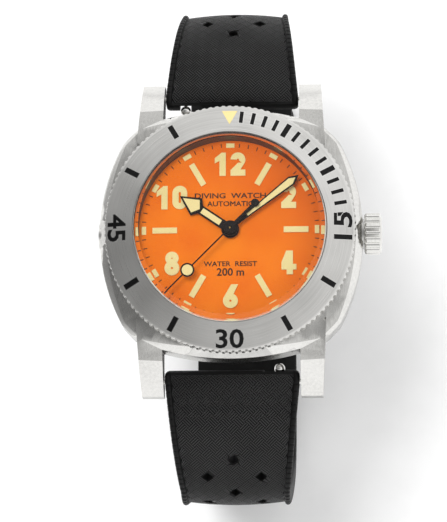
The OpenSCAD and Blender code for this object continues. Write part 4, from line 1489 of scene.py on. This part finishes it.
    def cutters(self) -> list[Piece]:
        """What is cut from the flat half: perforations, bar channels and the room for knob and tang."""
        points, faces = [], []
        for x, along, reach in self.holes:
            diamond = [(x + reach, along), (x, along + reach), (x - reach, along), (x, along - reach)]
            prism(points, faces, diamond, -4, 4)
        pins = [0.0] + ([self.length()] if self.end_boss else [])
        for centre in pins:
            circle = [
                (centre + self.bar_hole * math.cos(math.tau * k / 24), self.bar_hole * math.sin(math.tau * k / 24))
                for k in range(24)
            ]
            first = len(points)
            points += [(side, y, z) for side in (-12, 12) for y, z in circle]
            faces += [tuple(range(first, first + 24)), tuple(range(first + 24, first + 48))]
            faces += [
                (first + k, first + (k + 1) % 24, first + 24 + (k + 1) % 24, first + 24 + k) for k in range(24)
            ]
        round_cuts = mesh_object(self.name + "_cuts", points, faces)
        points, faces = [], []
        knob = -6.3 * self.side.value
        prism(points, faces, [(knob - 1.6, -3), (knob + 1.6, -3), (knob + 1.6, 0), (knob - 1.6, 0)], -3, 0.95)
        if self.end_boss:
            end = self.length()
            prism(points, faces, [(-1.3, end - 2.6), (1.3, end - 2.6), (1.3, end + 3), (-1.3, end + 3)], -3, 3)
        return [round_cuts, mesh_object(self.name + "_rooms", points, faces)]

    def build(self, frame: dict) -> None:
        """Moulds the half flat, weaves its face and wraps it along its path."""
        piece = self.flat()
        helpers = self.cutters()
        for helper in helpers:
            cut = piece.modifiers.new("cut", "BOOLEAN")
            cut.operation, cut.solver, cut.object = "DIFFERENCE", "EXACT", helper
        bake_modifiers(piece)
        curve = bpy.data.curves.new(self.name + "_path", "CURVE")
        curve.dimensions = "3D"
        count = int((self.length() + 2 * self.lead + self.end_width / 2) / 0.25)
        spline = curve.splines.new("POLY")
        spline.points.add(count)
        for k, point in enumerate(spline.points):
            u, v = self.on_path(k * 0.25 - self.lead)
            point.co = (0, self.side.value * u * MM, v * MM, 1)
        path = bpy.data.objects.new(self.name + "_path", curve)
        bpy.context.scene.collection.objects.link(path)
        marks = bpy.data.meshes.new(self.name + "_holes")
        marks.from_pydata([(x * MM, along * MM, 0) for x, along, _ in self.holes], [], [])
        dots = new_object(self.name + "_holes", marks)
        weave = self.weave
        values = {
            "Path": path, "Perforations": dots, "Band finish": RUBBER.material(),
            # the ribs take the rubber with painted sheen, lighter than the band
            "Rib finish": RUBBER_RIB_PAINTED_SHEEN.material(), "Lead": self.lead * MM, "Side": float(self.side.value),
            "Cell": weave.cell * MM, "Rib spacing": weave.spacing * MM, "Rib length": weave.length * MM,
            "Rib width": weave.width * MM, "Rib height": weave.height * MM, "Weave start": weave.start * MM,
            "Weave end": self.weave_end * MM, "Top width": (self.width / 2 - 2 * self.bead) * MM,
            "Low width": (self.end_width / 2 - 2 * self.bead) * MM, "Taper": self.taper * MM,
            "Crown": self.crown * MM, "Hole reach": weave.hole_reach * MM,
        }
        run_tree(piece, weave_tree(), values)
        for helper in (*helpers, path, dots):
            bpy.data.objects.remove(helper)
        heal(piece)
        smooth(piece, 38)
        settle(piece, self.node, "black_rubber", self.node)


def smooth_step(low: float, high: float, value: float) -> float:
    """0 below low, 1 above high, and a smooth rise between."""
    share = min(max((value - low) / (high - low), 0.0), 1.0)
    return share * share * (3 - 2 * share)


def prism(points: list, faces: list, outline: Sequence[tuple[float, float]], low: float, high: float) -> None:
    """Adds an upright prism to lists of points and faces."""
    first, count = len(points), len(outline)
    points += [(x, y, z) for z in (low, high) for x, y in outline]
    faces += [tuple(range(first, first + count)), tuple(range(first + count, first + 2 * count))]
    for k in range(count):
        after = (k + 1) % count
        faces.append((first + k, first + after, first + count + after, first + count + k))


FIRST_LEGS = ((17.5, -55.0), (5.6, -38.0))
UPPER_HOLES = (
    (0.0, 11.4, 0.92), (-4.0, 14.55, 0.92), (4.0, 14.55, 0.92), (0.0, 17.7, 0.92),
    (-4.0, 20.85, 0.92), (4.0, 20.85, 0.92), (0.0, 24.0, 0.92),
)
TAIL_HOLES = tuple((0.0, 73.576 + 6.0 * i, 1.06) for i in range(7))


@dataclass(frozen=True)
class StrapSet:
    """Both strap halves, the keepers and the buckle."""

    halves: tuple[StrapHalf, ...] = (
        StrapHalf(
            "strap_short_woven", "strap_short", Side.TWELVE,
            (*FIRST_LEGS, (14.85, -20.0), (12.893, -57.0), (19.0, 0.0)), 66.2, UPPER_HOLES, end_boss=1.6,
        ),
        StrapHalf(
            "strap_long_woven", "strap_long", Side.SIX,
            (*FIRST_LEGS, (30.893, -12.0), (15.583, -70.0), (48.0, 0.0)), 116.5, UPPER_HOLES + TAIL_HOLES,
        ),
    )
    parts: tuple[tuple[Machined, Finish], ...] = (
        (Machined("fixed_keeper", "keeper_fixed_moulded", "strap_short", "black_rubber", 0.4, 4), RUBBER),
        (Machined("loose_keeper", "keeper_loose_moulded", "keeper", "black_rubber", 0.4, 4), RUBBER),
        (Machined("buckle_frame", "buckle_frame_brushed", "buckle", "brushed_case", 0.25, 3), BRUSHED_BUCKLE),
        (Machined("buckle_tang", "buckle_tang_polished", "tang", "polished_steel", 0.15, 3), POLISHED),
    )

    def build(self, frame: dict) -> None:
        """Builds the strap halves, the keepers and the buckle."""
        for half in self.halves:
            half.build(frame)
        for part, finish in self.parts:
            part.build(frame, finish)


# ------------------------------------------------------------------ studio
@dataclass(frozen=True)
class Softbox:
    """A square soft lamp.

    Attributes:
        name: its name.
        place: where it hangs, metres.
        side: its side, metres.
        watts: its power.
    """

    name: str
    place: Point
    side: float
    watts: float


@dataclass(frozen=True)
class Studio:
    """A pale floor, soft lamps and the camera.

    Attributes:
        toward: the way from the dial to the camera.
        distance: from dial to camera, metres.
        lens: focal length for a 36 mm long side, mm.
        aim: the view's middle from the dial's centre, right and up, mm.
        dial_height: height of the dial's face, mm.
        lamps: the soft lamps.
        dim: the room's dark colour, overhead and to the left, sRGB hex.
        lit: the room's bright colour, sRGB hex.
        strength: strength of the room's light.
        low_share: how the room brightens away from overhead, along X and Y.
        side_share: how it brightens to the right.
        bright_span: the sums of those shares that are dark and bright.
    """

    toward: Point = (0.05, -0.20, 0.98)
    distance: float = 0.4
    lens: float = 187.15
    aim: tuple[float, float] = (-1.047, -4.42)
    dial_height: float = 7.6
    lamps: tuple[Softbox, ...] = (
        Softbox("key_softbox", (-0.17, 0.10, 0.65), 0.26, 3.0),
    )
    dim: str = "#202020"
    lit: str = "#FFFFFF"
    strength: float = 1.2
    low_share: Point = (0.6, 1.6, 0)
    side_share: Point = (0.72, 0, 0)
    bright_span: tuple[float, float] = (-0.42, 0.75)

    def build(self, low: float) -> None:
        """Sets the floor at a height, metres, then the light and the camera."""
        self.floor(low)
        self.light()
        self.camera()

    def floor(self, low: float) -> None:
        """Lays a plain paper floor at a height."""
        mesh = bpy.data.meshes.new("studio_floor")
        reach = 3.0
        corners = [(-reach, -reach, low), (reach, -reach, low), (reach, reach, low), (-reach, reach, low)]
        mesh.from_pydata(corners, [], [(0, 1, 2, 3)])
        floor = new_object("studio_floor", mesh)
        set_finish(floor, PAPER)
        floor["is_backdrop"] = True

    def light(self) -> None:
        """Hangs the lamps and sets the room's own light."""
        world = bpy.data.worlds.new("studio_room")
        bpy.context.scene.world = world
        world.use_nodes = True
        tree = world.node_tree
        add = partial(add_node, tree)
        tree.nodes.clear()
        way = add(COORDINATES, out="Generated")
        # dim overhead and on the left, bright low down behind, in front and to the right
        square = add(VECTOR, (way, way), "MULTIPLY")
        low = add(VECTOR, (square, self.low_share), "DOT_PRODUCT", out="Value")
        side = add(VECTOR, (way, self.side_share), "DOT_PRODUCT", out="Value")
        bright = add(MATH, (low, side), "ADD")
        dark, full = self.bright_span
        share = add(MAP_RANGE, {"Value": bright, "From Min": dark, "From Max": full})
        colour = add(MIX, {0: share, 6: linear(self.dim), 7: linear(self.lit)}, out=2, data_type="RGBA")
        back = add("ShaderNodeBackground", {"Color": colour, "Strength": self.strength})
        add("ShaderNodeOutputWorld", {"Surface": back})
        for lamp in self.lamps:
            data = bpy.data.lights.new(lamp.name, "AREA")
            data.energy, data.size = lamp.watts, lamp.side
            holder = bpy.data.objects.new(lamp.name, data)
            holder.location = lamp.place
            holder.rotation_euler = (-Vector(lamp.place)).to_track_quat("-Z", "Y").to_euler()
            # seen in the crystal, a lamp would veil the dial
            holder.visible_glossy = False
            holder.visible_transmission = False
            bpy.context.scene.collection.objects.link(holder)

    def camera(self) -> None:
        """Places the camera with its sides along the dial's."""
        back = Vector(self.toward).normalized()
        right = Vector((0, 1, 0)).cross(back).normalized()
        up = back.cross(right)
        data = bpy.data.cameras.new("studio_camera")
        data.sensor_fit, data.sensor_width, data.lens = "AUTO", 36.0, self.lens
        data.clip_start, data.clip_end = 0.01, 20.0
        camera = bpy.data.objects.new("studio_camera", data)
        aim = Vector((0, 0, self.dial_height * MM)) + right * self.aim[0] * MM + up * self.aim[1] * MM
        place = Matrix((right, up, back)).transposed().to_4x4()
        place.translation = aim + back * self.distance
        camera.matrix_world = place
        bpy.context.scene.collection.objects.link(camera)
        bpy.context.scene.camera = camera
        bpy.context.scene.view_settings.view_transform = "Standard"


# ------------------------------------------------------------------ main
def plain(corners: Sequence[Point]) -> list[list[float]]:
    """Corners as plain lists of numbers."""
    return [[float(value) for value in corner] for corner in corners]


def main() -> None:
    """Loads the frame, dresses it and builds each sub-assembly in order."""
    logging.basicConfig(level=logging.INFO, format="%(name)s: %(message)s")
    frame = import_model()
    cad_box = plain(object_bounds())
    for finish, names in DRESS.items():
        for name in names:
            set_slots(frame["nodes"][name], finish)
    for assembly in (CaseSet(), BezelSet(), WinderSet(), DialSet(), StrapSet()):
        LOG.info("building %s", type(assembly).__name__)
        assembly.build(frame)
    Studio().build(cad_box[0][2])


def set_slots(node: Piece, finish: Finish) -> None:
    """Puts a finish on every material slot of a CAD node."""
    if not node.material_slots:
        node.data.materials.append(finish.material())
    for slot in node.material_slots:
        slot.material = finish.material()


if __name__ == "__main__":
    main()
